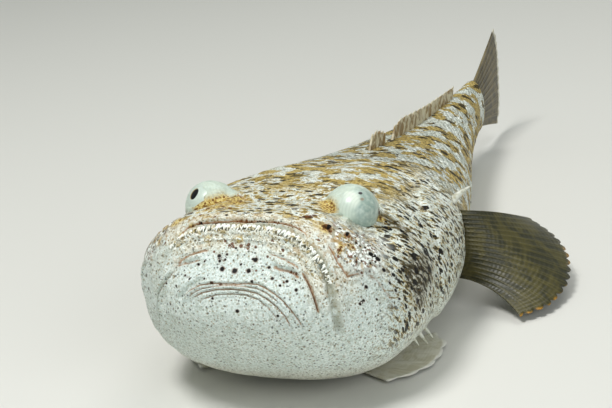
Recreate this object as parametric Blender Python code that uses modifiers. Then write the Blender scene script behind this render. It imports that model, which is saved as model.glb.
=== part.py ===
# A stargazer, the blunt-headed fish that lies buried in sand with only its face showing, as a
# still, life-size model: metres, +Z up, head towards -Y, the ground at Z = 0.
#
# Sizes are written in millimetres in the fish's own frame: X to its left, S back from a point just
# behind the front of the chin, Z up from the ground. place() turns that into metres and puts
# the origin on the flat of the belly.

import math
import random

import bmesh
import bpy
import numpy as np
from mathutils import Matrix, Vector
from mathutils.bvhtree import BVHTree

MM = 0.001
GAP = 0.3                # left between two pieces that touch
REST_S = 100.0           # where the belly's flat holds the origin
FLAT_ANGLE = math.radians(0.5)      # faces that turn less than this are one face
SHARP_ANGLE = math.radians(35)      # edges that turn more than this are shaded sharp
BODY_ROOM = 90.0         # a block this far out, on each side and up, clears the whole body

# Stations of the body: S, half width, top, bottom, height of the widest line, squareness of the
# section above and below that line.
STATIONS = [
    (-8.5, 0.0, 36.0, 36.0, 36.0, 2.4, 2.2),
    (-7.5, 12.0, 40.6, 30.8, 36.0, 2.5, 2.2),
    (-5.0, 19.0, 44.6, 26.0, 36.0, 2.6, 2.3),
    (-2.0, 22.8, 48.4, 22.0, 36.0, 2.6, 2.3),
    (0.0, 25.2, 51.2, 19.6, 35.6, 2.6, 2.4),
    (3.0, 28.2, 55.6, 16.2, 35.0, 2.6, 2.4),
    (8.0, 32.4, 57.8, 11.6, 34.0, 2.6, 2.5),
    (15.0, 36.9, 57.6, 6.8, 32.0, 2.62, 2.6),
    (25.0, 38.8, 56.4, 2.6, 29.0, 2.4, 2.6),
    (40.0, 39.4, 55.2, 0.2, 27.0, 2.4, 2.6),
    (60.0, 39.2, 53.4, -0.7, 25.0, 2.6, 2.6),
    (80.0, 37.8, 50.0, -0.7, 24.0, 2.4, 2.6),
    (100.0, 35.0, 46.6, -0.7, 23.0, 2.3, 2.5),
    (118.0, 31.2, 43.6, -0.5, 21.5, 2.2, 2.3),
    (150.0, 24.0, 39.2, 4.0, 20.5, 2.2, 2.1),
    (180.0, 16.5, 36.4, 8.2, 21.0, 2.1, 2.0),
    (210.0, 10.5, 34.8, 11.2, 22.0, 2.0, 2.0),
    (235.0, 6.6, 33.4, 12.4, 22.4, 2.0, 2.0),
    (246.0, 5.0, 33.8, 11.8, 22.6, 2.0, 2.0),
    (251.0, 2.2, 32.6, 12.8, 22.6, 2.0, 2.0),
]
RING_POINTS = 40
RING_COUNT = 42

# Swellings and hollows laid over the sections: X, S, Z of the middle, reach in each direction,
# height. All but those on the middle line are mirrored.
RELIEF = [
    (0.0, 22.0, 58.0, 9.0, 15.0, 12.0, -1.5),
    (27.0, 24.0, 49.5, 8.0, 9.0, 9.0, -4.5),
    (27.0, 44.0, 52.0, 8.0, 12.0, 9.0, 1.3),
    (36.0, 34.0, 30.0, 12.0, 13.0, 12.0, 1.4),
    (39.0, 72.0, 27.0, 12.0, 14.0, 14.0, 1.0),
    (14.0, 74.0, 54.0, 7.0, 12.0, 8.0, 0.8),
]

# The mouth is an arch in the front of the face. The lower jaw is the block inside it.
ARCH_HALF_WIDTH = 25.2
ARCH_TOP = 55.2
ARCH_SPRING = 28.0       # height at which the arch is widest
ARCH_SQUARENESS = 3.0
ARCH_POINTS = 40
JAW_FRONT_S = -20.0
JAW_BACK_S = 27.0
JAW_TAPER = 0.0062       # share of its section that the block loses in each millimetre back
JAW_BOTTOM = -6.0
FACE_START_S = -60.0     # well in front of the face

UPPER_LIP_RADIUS = (1.25, 1.9)      # at the middle of the mouth and at the lower end
LOWER_LIP_RADIUS = (1.15, 1.1)
LIP_OFFSET = (1.7, -1.6)            # upper and lower lip, out from the arch
LIP_END = 27.0                      # height of the lips' lower ends
LIP_POINTS = 27
LIP_SINK = 0.35                     # share of its radius that a lip's middle lies under the skin
LIP_TIP = 0.6                       # share of its radius left at a lip's ends

CIRRUS_PITCH = 2.3
CIRRUS_LENGTH = 2.3
CIRRUS_VARIATION = (0.8, 1.15)      # shortest and longest, as shares of that length
CIRRUS_RADIUS = 0.48
CIRRUS_TIP_RADIUS = 0.13
CIRRUS_SINK = 0.9                   # how deep a cirrus starts under the skin
CIRRUS_FORWARD = 1.3                # how much more a cirrus points forward than out of the skin
CIRRUS_OFFSET = (1.15, -1.1)
CIRRUS_SEEDS = (11, 23)
CIRRUS_END = 42.0                   # lowest height that carries cirri

EYE_CENTRE = (21.5, 32.0, 51.4)
EYE_RADIUS = 7.1
EYE_SEGMENTS = (24, 14)
GAZE = {1: (50.0, 10.0), -1: (31.0, 40.0)}   # left and right eye: degrees outward and upward
OPENING = {1: 62.0, -1: 27.0}       # half angle of the opening in the skin over each eye
TURRET_RADIUS = 8.0
TURRET_BACK = 0.5                   # how far the turret's middle lies behind the eye's
TURRET_DROP = 0.2
OPENING_SIDES = 24

NOSTRILS = [(21.6, 8.4, 0.85, 1.9), (26.6, 10.8, 0.7, 1.6)]   # X, S, pit radius, foot radius
NOSTRIL_RISE = 1.0       # height of the short tube round each nostril
NOSTRIL_SINK = 1.0
NOSTRIL_WALL = 0.35      # thickness of that tube at its top

# Gill cover: a rounded plate on each side, raised a little from the head.
COVER_FRONT_S = 53.0
COVER_BACK_S = 89.0
COVER_LOW = 7.0
COVER_HIGH = 46.0
COVER_SQUARENESS = 2.8
COVER_INNER_X = 24.0
COVER_OUTER_X = 64.0
COVER_RAISE = 0.8
COVER_POINTS = 32

# Blunt spines under the cheek, by their roots, and the strong spine of the shoulder.
CHEEK_SPINES = [(32.0, 39.0, 14.0), (33.0, 44.5, 12.2), (33.0, 50.0, 11.4)]
CHEEK_SPINE_WAY = (0.55, 0.25, -0.8)
CHEEK_SPINE_LENGTH = 6.7
CHEEK_SPINE_RADIUS = 1.1
CHEEK_SPINE_SIDES = 6
SHOULDER_SPINE_ROOT = (31.5, 91.5, 33.0)
SHOULDER_SPINE_TIP = (36.4, 104.5, 36.4)
SHOULDER_SPINE_RADIUS = 1.7
SHOULDER_SPINE_SIDES = 7
SPINE_TIP_RADIUS = 0.3

# Where the body is parted, back from the chin.
HEAD_FRONT = -40.0
HEAD_END = 90.0
TRUNK_SPLIT = 150.0
STALK_SPLIT = 205.0
BODY_END = 260.0

MEMBRANE = 0.75          # thickness of the fins between the rays
RAY = 1.35               # thickness of a ray at its root
RAY_TIP = 0.85
NOTCH = 0.982            # how far out the membrane reaches between two rays
ROOT_SINK = 2.0          # how deep a fin's root starts before the body is cut from it

# Fins of the middle line. Length is that of the rays, rise and rake the shares of it that they go
# up and back, and the anal fin's rays hang down.
FIRST_DORSAL = {"front": 112.0, "back": 128.0, "rays": 4, "rows": 3, "length": 7.5, "peak": 0.3,
                "slope": 0.55, "rise": 0.62, "rake": 0.95}
SECOND_DORSAL = {"front": 137.0, "back": 214.0, "rays": 13, "rows": 3, "length": 9.0, "loss": 2.5,
                 "front_loss": 2.5, "front_share": 0.06, "rise": 0.6, "rake": 0.9}
ANAL = {"front": 134.0, "back": 219.0, "rays": 13, "rows": 3, "front_length": 3.5, "length": 12.5,
        "full_from": 0.625, "loss_from": 0.7, "loss": 4.5, "slant": 0.75}
CAUDAL = {"root_s": 244.0, "low": 14.6, "high": 30.6, "tip_s": 289.0, "tip_low": 5.5, "tip_high": 46.0,
          "rays": 11, "rows": 6, "bulge": 2.0, "corner": 4.0, "spread": 1.15}
FIN_FLOOR = 1.0          # lowest height of the middle of a fin
FIN_CLEARANCE = 0.05     # left beside a fin over the usual gap

# Margin of the pectoral fin from its upper to its lowest ray, and the ends of its root line.
PECTORAL_MARGIN = [(47.0, 137.0, 15.0), (56.5, 131.5, 11.0), (63.5, 120.0, 7.6), (66.0, 105.5, 5.0),
                   (63.5, 91.0, 3.2), (56.0, 81.0, 2.4)]
PECTORAL_ROOT = [(96.0, 31.0), (93.5, 9.5)]
PECTORAL_RAYS = 12
PECTORAL_ROWS = 6
PECTORAL_BOW = (15.0, -1.5, 0.5)    # how far the fin arches out before it turns back

PELVIC_MARGIN = [(29.0, 30.0, 1.2), (35.5, 37.5, 1.1), (39.0, 48.0, 1.0), (38.5, 59.0, 1.0),
                 (33.0, 68.0, 1.0)]
PELVIC_ROOT = [(14.0, 39.5), (14.0, 50.5)]
PELVIC_RAYS = 6
PELVIC_ROWS = 4
PELVIC_HEIGHT = 1.0


def place(x, s, z):
    """A point of the fish, in metres."""
    return Vector((x * MM, (s - REST_S) * MM, z * MM))


def remove_startup_objects():
    for obj in list(bpy.data.objects):
        bpy.data.objects.remove(obj, do_unlink=True)


def new_collection(name):
    collection = bpy.data.collections.new(name)
    bpy.context.scene.collection.children.link(collection)
    return collection


def principled(name, colour, roughness):
    material = bpy.data.materials.new(name)
    material.use_nodes = True
    shader = material.node_tree.nodes["Principled BSDF"]
    shader.inputs["Base Color"].default_value = (*colour, 1.0)
    shader.inputs["Roughness"].default_value = roughness
    shader.inputs["Metallic"].default_value = 0.0
    return material


def object_from(bm, name, collection):
    """Turn a bmesh into an object of the collection, in triangles."""
    bmesh.ops.triangulate(bm, faces=bm.faces)
    bmesh.ops.recalc_face_normals(bm, faces=bm.faces)
    mesh = bpy.data.meshes.new(name)
    bm.to_mesh(mesh)
    bm.free()
    obj = bpy.data.objects.new(name, mesh)
    collection.objects.link(obj)
    return obj


def evaluated_mesh(obj):
    depsgraph = bpy.context.evaluated_depsgraph_get()
    depsgraph.update()
    return bpy.data.meshes.new_from_object(obj.evaluated_get(depsgraph))


def apply_modifiers(obj):
    """Keep the evaluated mesh, in triangles, because a later cut needs flat faces."""
    mesh = evaluated_mesh(obj)
    obj.modifiers.clear()
    bm = bmesh.new()
    bm.from_mesh(mesh)
    bmesh.ops.triangulate(bm, faces=bm.faces)
    bm.to_mesh(mesh)
    bm.free()
    obj.data = mesh
    return obj


def drop(*objects):
    for obj in objects:
        bpy.data.objects.remove(obj, do_unlink=True)


def boolean(obj, tool, operation, keep_tool=False, solver="EXACT"):
    """Cut, join or trim obj by one closed object."""
    modifier = obj.modifiers.new(operation.title(), "BOOLEAN")
    modifier.operation = operation
    modifier.solver = solver
    modifier.object = tool
    apply_modifiers(obj)
    if not keep_tool:
        drop(tool)
    return obj


def join_all(obj, pieces, solver="EXACT"):
    """Fuse a collection of closed objects with obj in one union."""
    group = bpy.data.collections.new(obj.name + "_pieces")
    bpy.context.scene.collection.children.link(group)
    for piece in pieces:
        for home in list(piece.users_collection):
            home.objects.unlink(piece)
        group.objects.link(piece)
    modifier = obj.modifiers.new("Join", "BOOLEAN")
    modifier.operation = "UNION"
    modifier.solver = solver
    modifier.operand_type = "COLLECTION"
    modifier.collection = group
    apply_modifiers(obj)
    drop(*pieces)
    bpy.data.collections.remove(group)
    return obj


def keep_largest_shell(obj):
    """Keep only the closed surface with the most volume, so a scrap of a cut never stays."""
    bm = bmesh.new()
    bm.from_mesh(obj.data)
    bmesh.ops.remove_doubles(bm, verts=bm.verts, dist=1e-7)
    bmesh.ops.dissolve_degenerate(bm, dist=1e-7, edges=bm.edges)
    left = set(bm.verts)
    shells = []
    while left:
        front = [left.pop()]
        shell = set(front)
        while front:
            vert = front.pop()
            for edge in vert.link_edges:
                other = edge.other_vert(vert)
                if other in left:
                    left.discard(other)
                    shell.add(other)
                    front.append(other)
        shells.append(shell)
    shells.sort(key=extent, reverse=True)
    for shell in shells[1:]:
        bmesh.ops.delete(bm, geom=list(shell), context="VERTS")
    bmesh.ops.dissolve_limit(bm, angle_limit=FLAT_ANGLE, verts=bm.verts, edges=bm.edges)
    bmesh.ops.triangulate(bm, faces=bm.faces)
    bm.to_mesh(obj.data)
    bm.free()
    return obj


def extent(verts):
    points = np.array([vert.co[:] for vert in verts])
    return float(np.prod(points.max(axis=0) - points.min(axis=0)))


def smooth_track(knots, values):
    """A curve through the knots that never overshoots: cubic pieces with limited slopes."""
    knots = np.asarray(knots, float)
    values = np.asarray(values, float)
    steps = np.diff(knots)
    slopes = np.diff(values) / steps
    tangents = np.zeros(len(knots))
    tangents[0] = slopes[0]
    tangents[-1] = slopes[-1]
    for i in range(1, len(knots) - 1):
        if slopes[i - 1] * slopes[i] > 0:
            before = 2 * steps[i] + steps[i - 1]
            after = steps[i] + 2 * steps[i - 1]
            tangents[i] = (before + after) / (before / slopes[i - 1] + after / slopes[i])

    def at(x):
        i = int(np.clip(np.searchsorted(knots, x) - 1, 0, len(steps) - 1))
        h = steps[i]
        t = min(max((x - knots[i]) / h, 0.0), 1.0)
        return float(values[i] * (1 + 2 * t) * (1 - t) ** 2 + tangents[i] * h * t * (1 - t) ** 2
                     + values[i + 1] * t * t * (3 - 2 * t) + tangents[i + 1] * h * t * t * (t - 1))

    return at


def nose_distance(s):
    """Root of the distance from the tip, which grows evenly round the blunt face."""
    return math.sqrt(max(s - STATIONS[0][0], 0.0))


NOSE_KNOTS = [nose_distance(row[0]) for row in STATIONS]
HALF_WIDTH, TOP, BOTTOM, WIDEST, SQUARE_UP, SQUARE_DOWN = [
    smooth_track(NOSE_KNOTS, [row[column] for row in STATIONS]) for column in range(1, 7)]


def relief(x, s, z):
    """Height of the swellings over the plain section at one point of the body."""
    height = 0.0
    for mx, ms, mz, rx, rs, rz, rise in RELIEF:
        away = ((abs(x) - mx) / rx) ** 2 + ((s - ms) / rs) ** 2 + ((z - mz) / rz) ** 2
        height += rise * math.exp(-away)
    return height


def flank_x(s, z):
    """Half width of the plain section at a height below its widest line."""
    q = nose_distance(s)
    share = (WIDEST(q) - z) / (WIDEST(q) - BOTTOM(q))
    power = SQUARE_DOWN(q)
    if z > WIDEST(q):
        share = (z - WIDEST(q)) / (TOP(q) - WIDEST(q))
        power = SQUARE_UP(q)
    return HALF_WIDTH(q) * (1 - min(abs(share), 1.0) ** power) ** (1 / power)


def body_ring(q):
    """Points round the section at nose distance q."""
    s = STATIONS[0][0] + q * q
    points = []
    for i in range(RING_POINTS):
        angle = 2 * math.pi * (i + 0.5) / RING_POINTS
        c = math.cos(angle)
        up = math.sin(angle)
        power = SQUARE_UP(q) if up > 0 else SQUARE_DOWN(q)
        reach = (abs(c) ** power + abs(up) ** power) ** (-1 / power)
        height = TOP(q) - WIDEST(q) if up > 0 else WIDEST(q) - BOTTOM(q)
        x = HALF_WIDTH(q) * reach * c
        z = WIDEST(q) + height * reach * up
        rise = relief(x, s, z)
        size = math.hypot(x, z - WIDEST(q)) + 1e-6
        x += rise * x / size
        z += rise * (z - WIDEST(q)) / size
        points.append(place(x, s, z))
    return points


def make_body(name, collection, grow=0.0):
    """The whole body as one closed loft, pushed out along its normals by grow."""
    bm = bmesh.new()
    last = NOSE_KNOTS[-1]
    rings = []
    for i in range(1, RING_COUNT + 1):
        q = last * i / RING_COUNT
        rings.append([bm.verts.new(point) for point in body_ring(q)])
    tip = bm.verts.new(place(0.0, STATIONS[0][0] - relief(0.0, *STATIONS[0][0:3:2]), STATIONS[0][2]))
    for ring, after in zip(rings[:-1], rings[1:]):
        for i in range(RING_POINTS):
            j = (i + 1) % RING_POINTS
            bm.faces.new((ring[i], ring[j], after[j], after[i]))
    for i in range(RING_POINTS):
        bm.faces.new((tip, rings[0][(i + 1) % RING_POINTS], rings[0][i]))
    bm.faces.new(rings[-1])
    bmesh.ops.recalc_face_normals(bm, faces=bm.faces)
    if grow:
        bm.normal_update()
        offsets = [(vert, vert.normal * (grow * MM)) for vert in bm.verts]
        for vert, offset in offsets:
            vert.co += offset
    return object_from(bm, name, collection)


def box(name, collection, low, high):
    bm = bmesh.new()
    bmesh.ops.create_cube(bm, size=1.0)
    a = place(*low)
    b = place(*high)
    for vert in bm.verts:
        for axis in range(3):
            vert.co[axis] = a[axis] if vert.co[axis] < 0 else b[axis]
    return object_from(bm, name, collection)


def slab(name, collection, front, back):
    """A block that holds the body between two stations and above the ground."""
    return box(name, collection, (-BODY_ROOM, front, 0.0), (BODY_ROOM, back, BODY_ROOM))


def arch_outline(offset, scale=1.0):
    """Outline of the mouth's arch, from its left foot over the top to its right foot."""
    points = []
    half = ARCH_HALF_WIDTH + offset
    rise = ARCH_TOP + offset - ARCH_SPRING
    for i in range(ARCH_POINTS + 1):
        angle = math.pi * i / ARCH_POINTS
        c = math.cos(angle)
        up = math.sin(angle)
        reach = (abs(c) ** ARCH_SQUARENESS + up ** ARCH_SQUARENESS) ** (-1 / ARCH_SQUARENESS)
        points.append((half * reach * c * scale, (ARCH_SPRING + rise * reach * up) * scale))
    return points


def jaw_block(name, collection, offset):
    """The block of the lower jaw, narrowing as it runs back into the head."""
    bm = bmesh.new()
    rings = []
    for s in (JAW_FRONT_S, JAW_BACK_S + offset):
        outline = arch_outline(offset, 1.0 - JAW_TAPER * s)
        foot = outline[0][0]
        ring = [(foot, JAW_BOTTOM)] + outline + [(-foot, JAW_BOTTOM)]
        rings.append([bm.verts.new(place(x, s, z)) for x, z in ring])
    count = len(rings[0])
    for i in range(count):
        j = (i + 1) % count
        bm.faces.new((rings[0][i], rings[0][j], rings[1][j], rings[1][i]))
    bm.faces.new(rings[0])
    bm.faces.new(rings[1])
    return object_from(bm, name, collection)


def surface_of(obj):
    bm = bmesh.new()
    bm.from_mesh(obj.data)
    tree = BVHTree.FromBMesh(bm)
    bm.free()
    return tree


def on_face(tree, x, z):
    """Where a line straight back through (x, z) meets the face, and the normal there."""
    start = place(x, FACE_START_S, z)
    hit, normal, _, _ = tree.ray_cast(start, Vector((0, 1, 0)))
    return hit, normal


def arch_walk(offset, lowest, pitch=None, count=None):
    """Points spaced evenly along the arch above a height, as (x, z) pairs."""
    outline = [point for point in arch_outline(offset) if point[1] > lowest]
    lengths = [0.0]
    for a, b in zip(outline[:-1], outline[1:]):
        lengths.append(lengths[-1] + math.hypot(b[0] - a[0], b[1] - a[1]))
    if count is None:
        count = int(lengths[-1] / pitch)
    walk = []
    for i in range(count):
        along = lengths[-1] * i / (count - 1)
        x = float(np.interp(along, lengths, [point[0] for point in outline]))
        z = float(np.interp(along, lengths, [point[1] for point in outline]))
        walk.append((x, z))
    return walk


def tube(name, collection, points, radii):
    """A closed tube through the points, as a mesh."""
    curve = bpy.data.curves.new(name, "CURVE")
    curve.dimensions = "3D"
    curve.bevel_depth = MM
    curve.bevel_resolution = 1
    curve.use_fill_caps = True
    spline = curve.splines.new("POLY")
    spline.points.add(len(points) - 1)
    for target, point, radius in zip(spline.points, points, radii):
        target.co = (*point, 1.0)
        target.radius = radius
    guide = bpy.data.objects.new(name + "_guide", curve)
    collection.objects.link(guide)
    mesh = evaluated_mesh(guide)
    drop(guide)
    bm = bmesh.new()
    bm.from_mesh(mesh)
    bmesh.ops.remove_doubles(bm, verts=bm.verts, dist=1e-6)
    return object_from(bm, name, collection)


def lip(name, collection, tree, offset, radii):
    """A lip along one side of the mouth, thicker towards its lower ends."""
    points = []
    sizes = []
    for x, z in arch_walk(offset, LIP_END, count=LIP_POINTS):
        hit, normal = on_face(tree, x, z)
        share = min((ARCH_TOP - z) / (ARCH_TOP - LIP_END), 1.0)
        radius = radii[0] + (radii[1] - radii[0]) * share
        points.append(hit - normal * (LIP_SINK * radius * MM))
        sizes.append(radius)
    sizes[0] *= LIP_TIP
    sizes[-1] *= LIP_TIP
    return tube(name, collection, points, sizes)


def spike(name, collection, root, tip, root_radius, tip_radius, sides=5):
    """A tapered spine from root to tip."""
    bm = bmesh.new()
    axis = tip - root
    turn = Vector((0, 0, 1)).rotation_difference(axis).to_matrix().to_4x4()
    bmesh.ops.create_cone(bm, cap_ends=True, segments=sides, radius1=root_radius * MM,
                          radius2=tip_radius * MM, depth=axis.length,
                          matrix=Matrix.Translation((root + tip) / 2) @ turn)
    return object_from(bm, name, collection)


def cirri(collection, tree, offset, seed):
    """The fringe of small skin tags that keeps sand out of the closed mouth."""
    rng = random.Random(seed)
    tags = []
    for number, (x, z) in enumerate(arch_walk(offset, CIRRUS_END, pitch=CIRRUS_PITCH)):
        hit, normal = on_face(tree, x, z)
        size = CIRRUS_LENGTH * rng.uniform(*CIRRUS_VARIATION)
        forward = (Vector((0, -1, 0)) * CIRRUS_FORWARD + normal).normalized()
        root = hit - forward * (CIRRUS_SINK * MM)
        tip = hit + forward * (size * MM)
        tags.append(spike(f"tag_{number}", collection, root, tip, CIRRUS_RADIUS, CIRRUS_TIP_RADIUS))
    return tags


def gaze(side):
    azimuth, rise = (math.radians(angle) for angle in GAZE[side])
    return Vector((side * math.sin(azimuth) * math.cos(rise), -math.cos(azimuth) * math.cos(rise),
                   math.sin(rise)))


def eye_centre(side):
    x, s, z = EYE_CENTRE
    return place(side * x, s, z)


def ball(name, collection, centre, radius, axis, segments=EYE_SEGMENTS):
    """A sphere whose poles lie on the axis."""
    bm = bmesh.new()
    turn = Vector((0, 0, 1)).rotation_difference(axis).to_matrix().to_4x4()
    bmesh.ops.create_uvsphere(bm, u_segments=segments[0], v_segments=segments[1], radius=radius * MM,
                              matrix=Matrix.Translation(centre) @ turn)
    return object_from(bm, name, collection)


def turret(side, collection):
    """The raised dome of skin over an eye, open round the line of sight."""
    axis = gaze(side)
    middle = eye_centre(side) - axis * (TURRET_BACK * MM) - Vector((0, 0, TURRET_DROP * MM))
    dome = ball(f"turret_{side}", collection, middle, TURRET_RADIUS, axis)
    radius = (EYE_RADIUS + GAP) * math.sin(math.radians(OPENING[side]))
    far = eye_centre(side) + axis * (2 * TURRET_RADIUS * MM)
    hole = spike(f"opening_{side}", collection, eye_centre(side), far, radius, radius, OPENING_SIDES)
    return boolean(dome, hole, "DIFFERENCE")


def on_top(tree, x, s):
    hit, normal, _, _ = tree.ray_cast(place(x, s, BODY_ROOM), Vector((0, 0, -1)))
    return hit, normal


def cover_block(name, collection, side, offset):
    """The rounded outline of a gill cover, run through the side of the body."""
    middle_s = (COVER_FRONT_S + COVER_BACK_S) / 2
    middle_z = (COVER_LOW + COVER_HIGH) / 2
    half_s = (COVER_BACK_S - COVER_FRONT_S) / 2 + offset
    half_z = (COVER_HIGH - COVER_LOW) / 2 + offset
    bm = bmesh.new()
    ring = []
    for i in range(COVER_POINTS):
        angle = 2 * math.pi * (i + 0.5) / COVER_POINTS
        c = math.cos(angle)
        up = math.sin(angle)
        reach = (abs(c) ** COVER_SQUARENESS + abs(up) ** COVER_SQUARENESS) ** (-1 / COVER_SQUARENESS)
        ring.append(bm.verts.new(place(side * (COVER_INNER_X - offset), middle_s + half_s * reach * c,
                                       middle_z + half_z * reach * up)))
    face = bm.faces.new(ring)
    out = bmesh.ops.extrude_face_region(bm, geom=[face])
    moved = [item for item in out["geom"] if isinstance(item, bmesh.types.BMVert)]
    bmesh.ops.translate(bm, verts=moved, vec=Vector((side * (COVER_OUTER_X - COVER_INNER_X) * MM, 0, 0)))
    return object_from(bm, name, collection)


def fin_sheet(name, collection, surface, rays, rows):
    """A fin as a thin sheet with its rays raised as ridges on both faces.

    surface(u, v) gives the middle of the fin, u along the fin and v from root to margin.
    """
    columns = 2 * rays - 2
    bm = bmesh.new()
    bmesh.ops.create_grid(bm, x_segments=columns, y_segments=rows, size=1.0)
    shares = []
    for vert in bm.verts:
        u = (vert.co.x + 1) / 2
        v = (vert.co.y + 1) / 2
        ridge = round(u * columns) % 2 == 0
        thick = MEMBRANE
        if ridge:
            thick = mix(RAY, RAY_TIP, v)
        shares.append(thick / RAY)
        vert.co = surface(u, v if ridge else v * NOTCH)
    bmesh.ops.triangulate(bm, faces=bm.faces)
    fin = object_from(bm, name, collection)
    group = fin.vertex_groups.new(name="thickness")
    for index, share in enumerate(shares):
        group.add([index], share, "REPLACE")
    solidify = fin.modifiers.new("Thickness", "SOLIDIFY")
    solidify.thickness = RAY * MM
    solidify.offset = 0.0
    solidify.vertex_group = "thickness"
    apply_modifiers(fin)
    fin.vertex_groups.clear()
    return fin


def through(points):
    """A smooth curve through a few points, over 0 to 1."""
    knots = [i / (len(points) - 1) for i in range(len(points))]
    tracks = [smooth_track(knots, [point[axis] for point in points]) for axis in range(3)]
    return lambda u: tuple(track(u) for track in tracks)


def mix(a, b, t):
    return a + (b - a) * t


def first_dorsal(u, v):
    fin = FIRST_DORSAL
    s = mix(fin["front"], fin["back"], u)
    length = fin["length"] * (1 - fin["slope"] * abs(u - fin["peak"]) ** 1.2)
    z = TOP(nose_distance(s)) - ROOT_SINK + (length * fin["rise"] + ROOT_SINK) * v
    return place(0.0, s + length * fin["rake"] * v, z)


def second_dorsal(u, v):
    fin = SECOND_DORSAL
    s = mix(fin["front"], fin["back"], u)
    length = fin["length"] - fin["loss"] * u
    length -= fin["front_loss"] * math.exp(-(u / fin["front_share"]) ** 2)
    z = TOP(nose_distance(s)) - ROOT_SINK + (length * fin["rise"] + ROOT_SINK) * v
    return place(0.0, s + length * fin["rake"] * v, z)


def anal_fin(u, v):
    fin = ANAL
    s = mix(fin["front"], fin["back"], u)
    length = mix(fin["front_length"], fin["length"], min(u / fin["full_from"], 1.0))
    length -= fin["loss"] * max(u - fin["loss_from"], 0.0) / (1 - fin["loss_from"])
    root = BOTTOM(nose_distance(s)) + ROOT_SINK
    tip = max(root - ROOT_SINK - length * fin["slant"], FIN_FLOOR)
    return place(0.0, s + length * fin["slant"] * v, mix(root, tip, v))


def caudal_fin(u, v):
    fin = CAUDAL
    rim = 1 - (2 * u - 1) ** 2
    tip_s = fin["tip_s"] + fin["bulge"] * rim - fin["corner"] * (1 - rim) ** 3
    root_z = mix(fin["low"], fin["high"], u)
    tip_z = mix(fin["tip_low"], fin["tip_high"], u)
    return place(0.0, mix(fin["root_s"], tip_s, v), mix(root_z, tip_z, v ** fin["spread"]))


def pectoral_fin(side):
    margin = through(PECTORAL_MARGIN)
    bow_x, bow_s, bow_z = PECTORAL_BOW

    def surface(u, v):
        s = mix(PECTORAL_ROOT[0][0], PECTORAL_ROOT[1][0], u)
        z = mix(PECTORAL_ROOT[0][1], PECTORAL_ROOT[1][1], u)
        root = place(side * (flank_x(s, z) - ROOT_SINK), s, z)
        x, tip_s, tip_z = margin(u)
        tip = place(side * x, tip_s, tip_z)
        bow = root + Vector((side * bow_x, bow_s, bow_z)) * MM
        return root * (1 - v) ** 2 + bow * (2 * v * (1 - v)) + tip * v * v

    return surface


def pelvic_fin(side):
    margin = through(PELVIC_MARGIN)

    def surface(u, v):
        root_s = mix(PELVIC_ROOT[0][1], PELVIC_ROOT[1][1], u)
        x, tip_s, tip_z = margin(u)
        return place(side * mix(PELVIC_ROOT[0][0], x, v), mix(root_s, tip_s, v),
                     mix(PELVIC_HEIGHT, tip_z, v))

    return surface


def build_head(parts, tools, tree, materials):
    head = make_body("head", parts)
    pieces = [turret(1, tools), turret(-1, tools)]
    pieces.append(lip("upper_lip", tools, tree, LIP_OFFSET[0], UPPER_LIP_RADIUS))
    pieces += cirri(tools, tree, CIRRUS_OFFSET[0], CIRRUS_SEEDS[0])
    for side in (1, -1):
        for x, s, pit, foot in NOSTRILS:
            hit, normal = on_top(tree, side * x, s)
            foot_middle = hit - normal * (NOSTRIL_SINK * MM)
            top = hit + normal * (NOSTRIL_RISE * MM)
            pieces.append(spike(f"rim_{side}_{x}", tools, foot_middle, top, foot, pit + NOSTRIL_WALL, 10))
        way = Vector(CHEEK_SPINE_WAY).normalized() * (CHEEK_SPINE_LENGTH * MM)
        way.x *= side
        for number, (x, s, z) in enumerate(CHEEK_SPINES):
            root = place(side * x, s, z)
            pieces.append(spike(f"cheek_spine_{side}_{number}", tools, root, root + way, CHEEK_SPINE_RADIUS,
                                SPINE_TIP_RADIUS, CHEEK_SPINE_SIDES))
    # The many small meetings on the head leave open edges with the exact solver.
    join_all(head, pieces, "MANIFOLD")
    boolean(head, jaw_block("jaw_room", tools, GAP), "DIFFERENCE", solver="MANIFOLD")
    for side in (1, -1):
        socket = ball(f"socket_{side}", tools, eye_centre(side), EYE_RADIUS + GAP, gaze(side))
        boolean(head, socket, "DIFFERENCE", solver="MANIFOLD")
        for x, s, pit, _ in NOSTRILS:
            hit, normal = on_top(tree, side * x, s)
            top = hit + normal * (NOSTRIL_RISE * MM)
            hollow = ball(f"pit_{side}_{x}", tools, top, pit, normal, (8, 6))
            boolean(head, hollow, "DIFFERENCE", solver="MANIFOLD")
        boolean(head, cover_block(f"cover_room_{side}", tools, side, GAP), "DIFFERENCE", solver="MANIFOLD")
    boolean(head, slab("head_room", tools, HEAD_FRONT, HEAD_END), "INTERSECT", solver="MANIFOLD")
    keep_largest_shell(head)
    head.data.materials.append(materials["skin"])


def build_jaw(parts, tools, tree, materials):
    jaw = make_body("lower_jaw", parts)
    pieces = [lip("lower_lip", tools, tree, LIP_OFFSET[1], LOWER_LIP_RADIUS)]
    pieces += cirri(tools, tree, CIRRUS_OFFSET[1], CIRRUS_SEEDS[1])
    join_all(jaw, pieces)
    boolean(jaw, jaw_block("jaw_shape", tools, 0.0), "INTERSECT")
    keep_largest_shell(jaw)
    jaw.data.materials.append(materials["chin"])


def build_covers(parts, tools, materials):
    for side, label in ((1, "left"), (-1, "right")):
        cover = make_body(f"gill_cover_{label}", parts, COVER_RAISE)
        boolean(cover, cover_block(f"cover_shape_{side}", tools, side, 0.0), "INTERSECT")
        keep_largest_shell(cover)
        cover.data.materials.append(materials["skin"])


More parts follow.
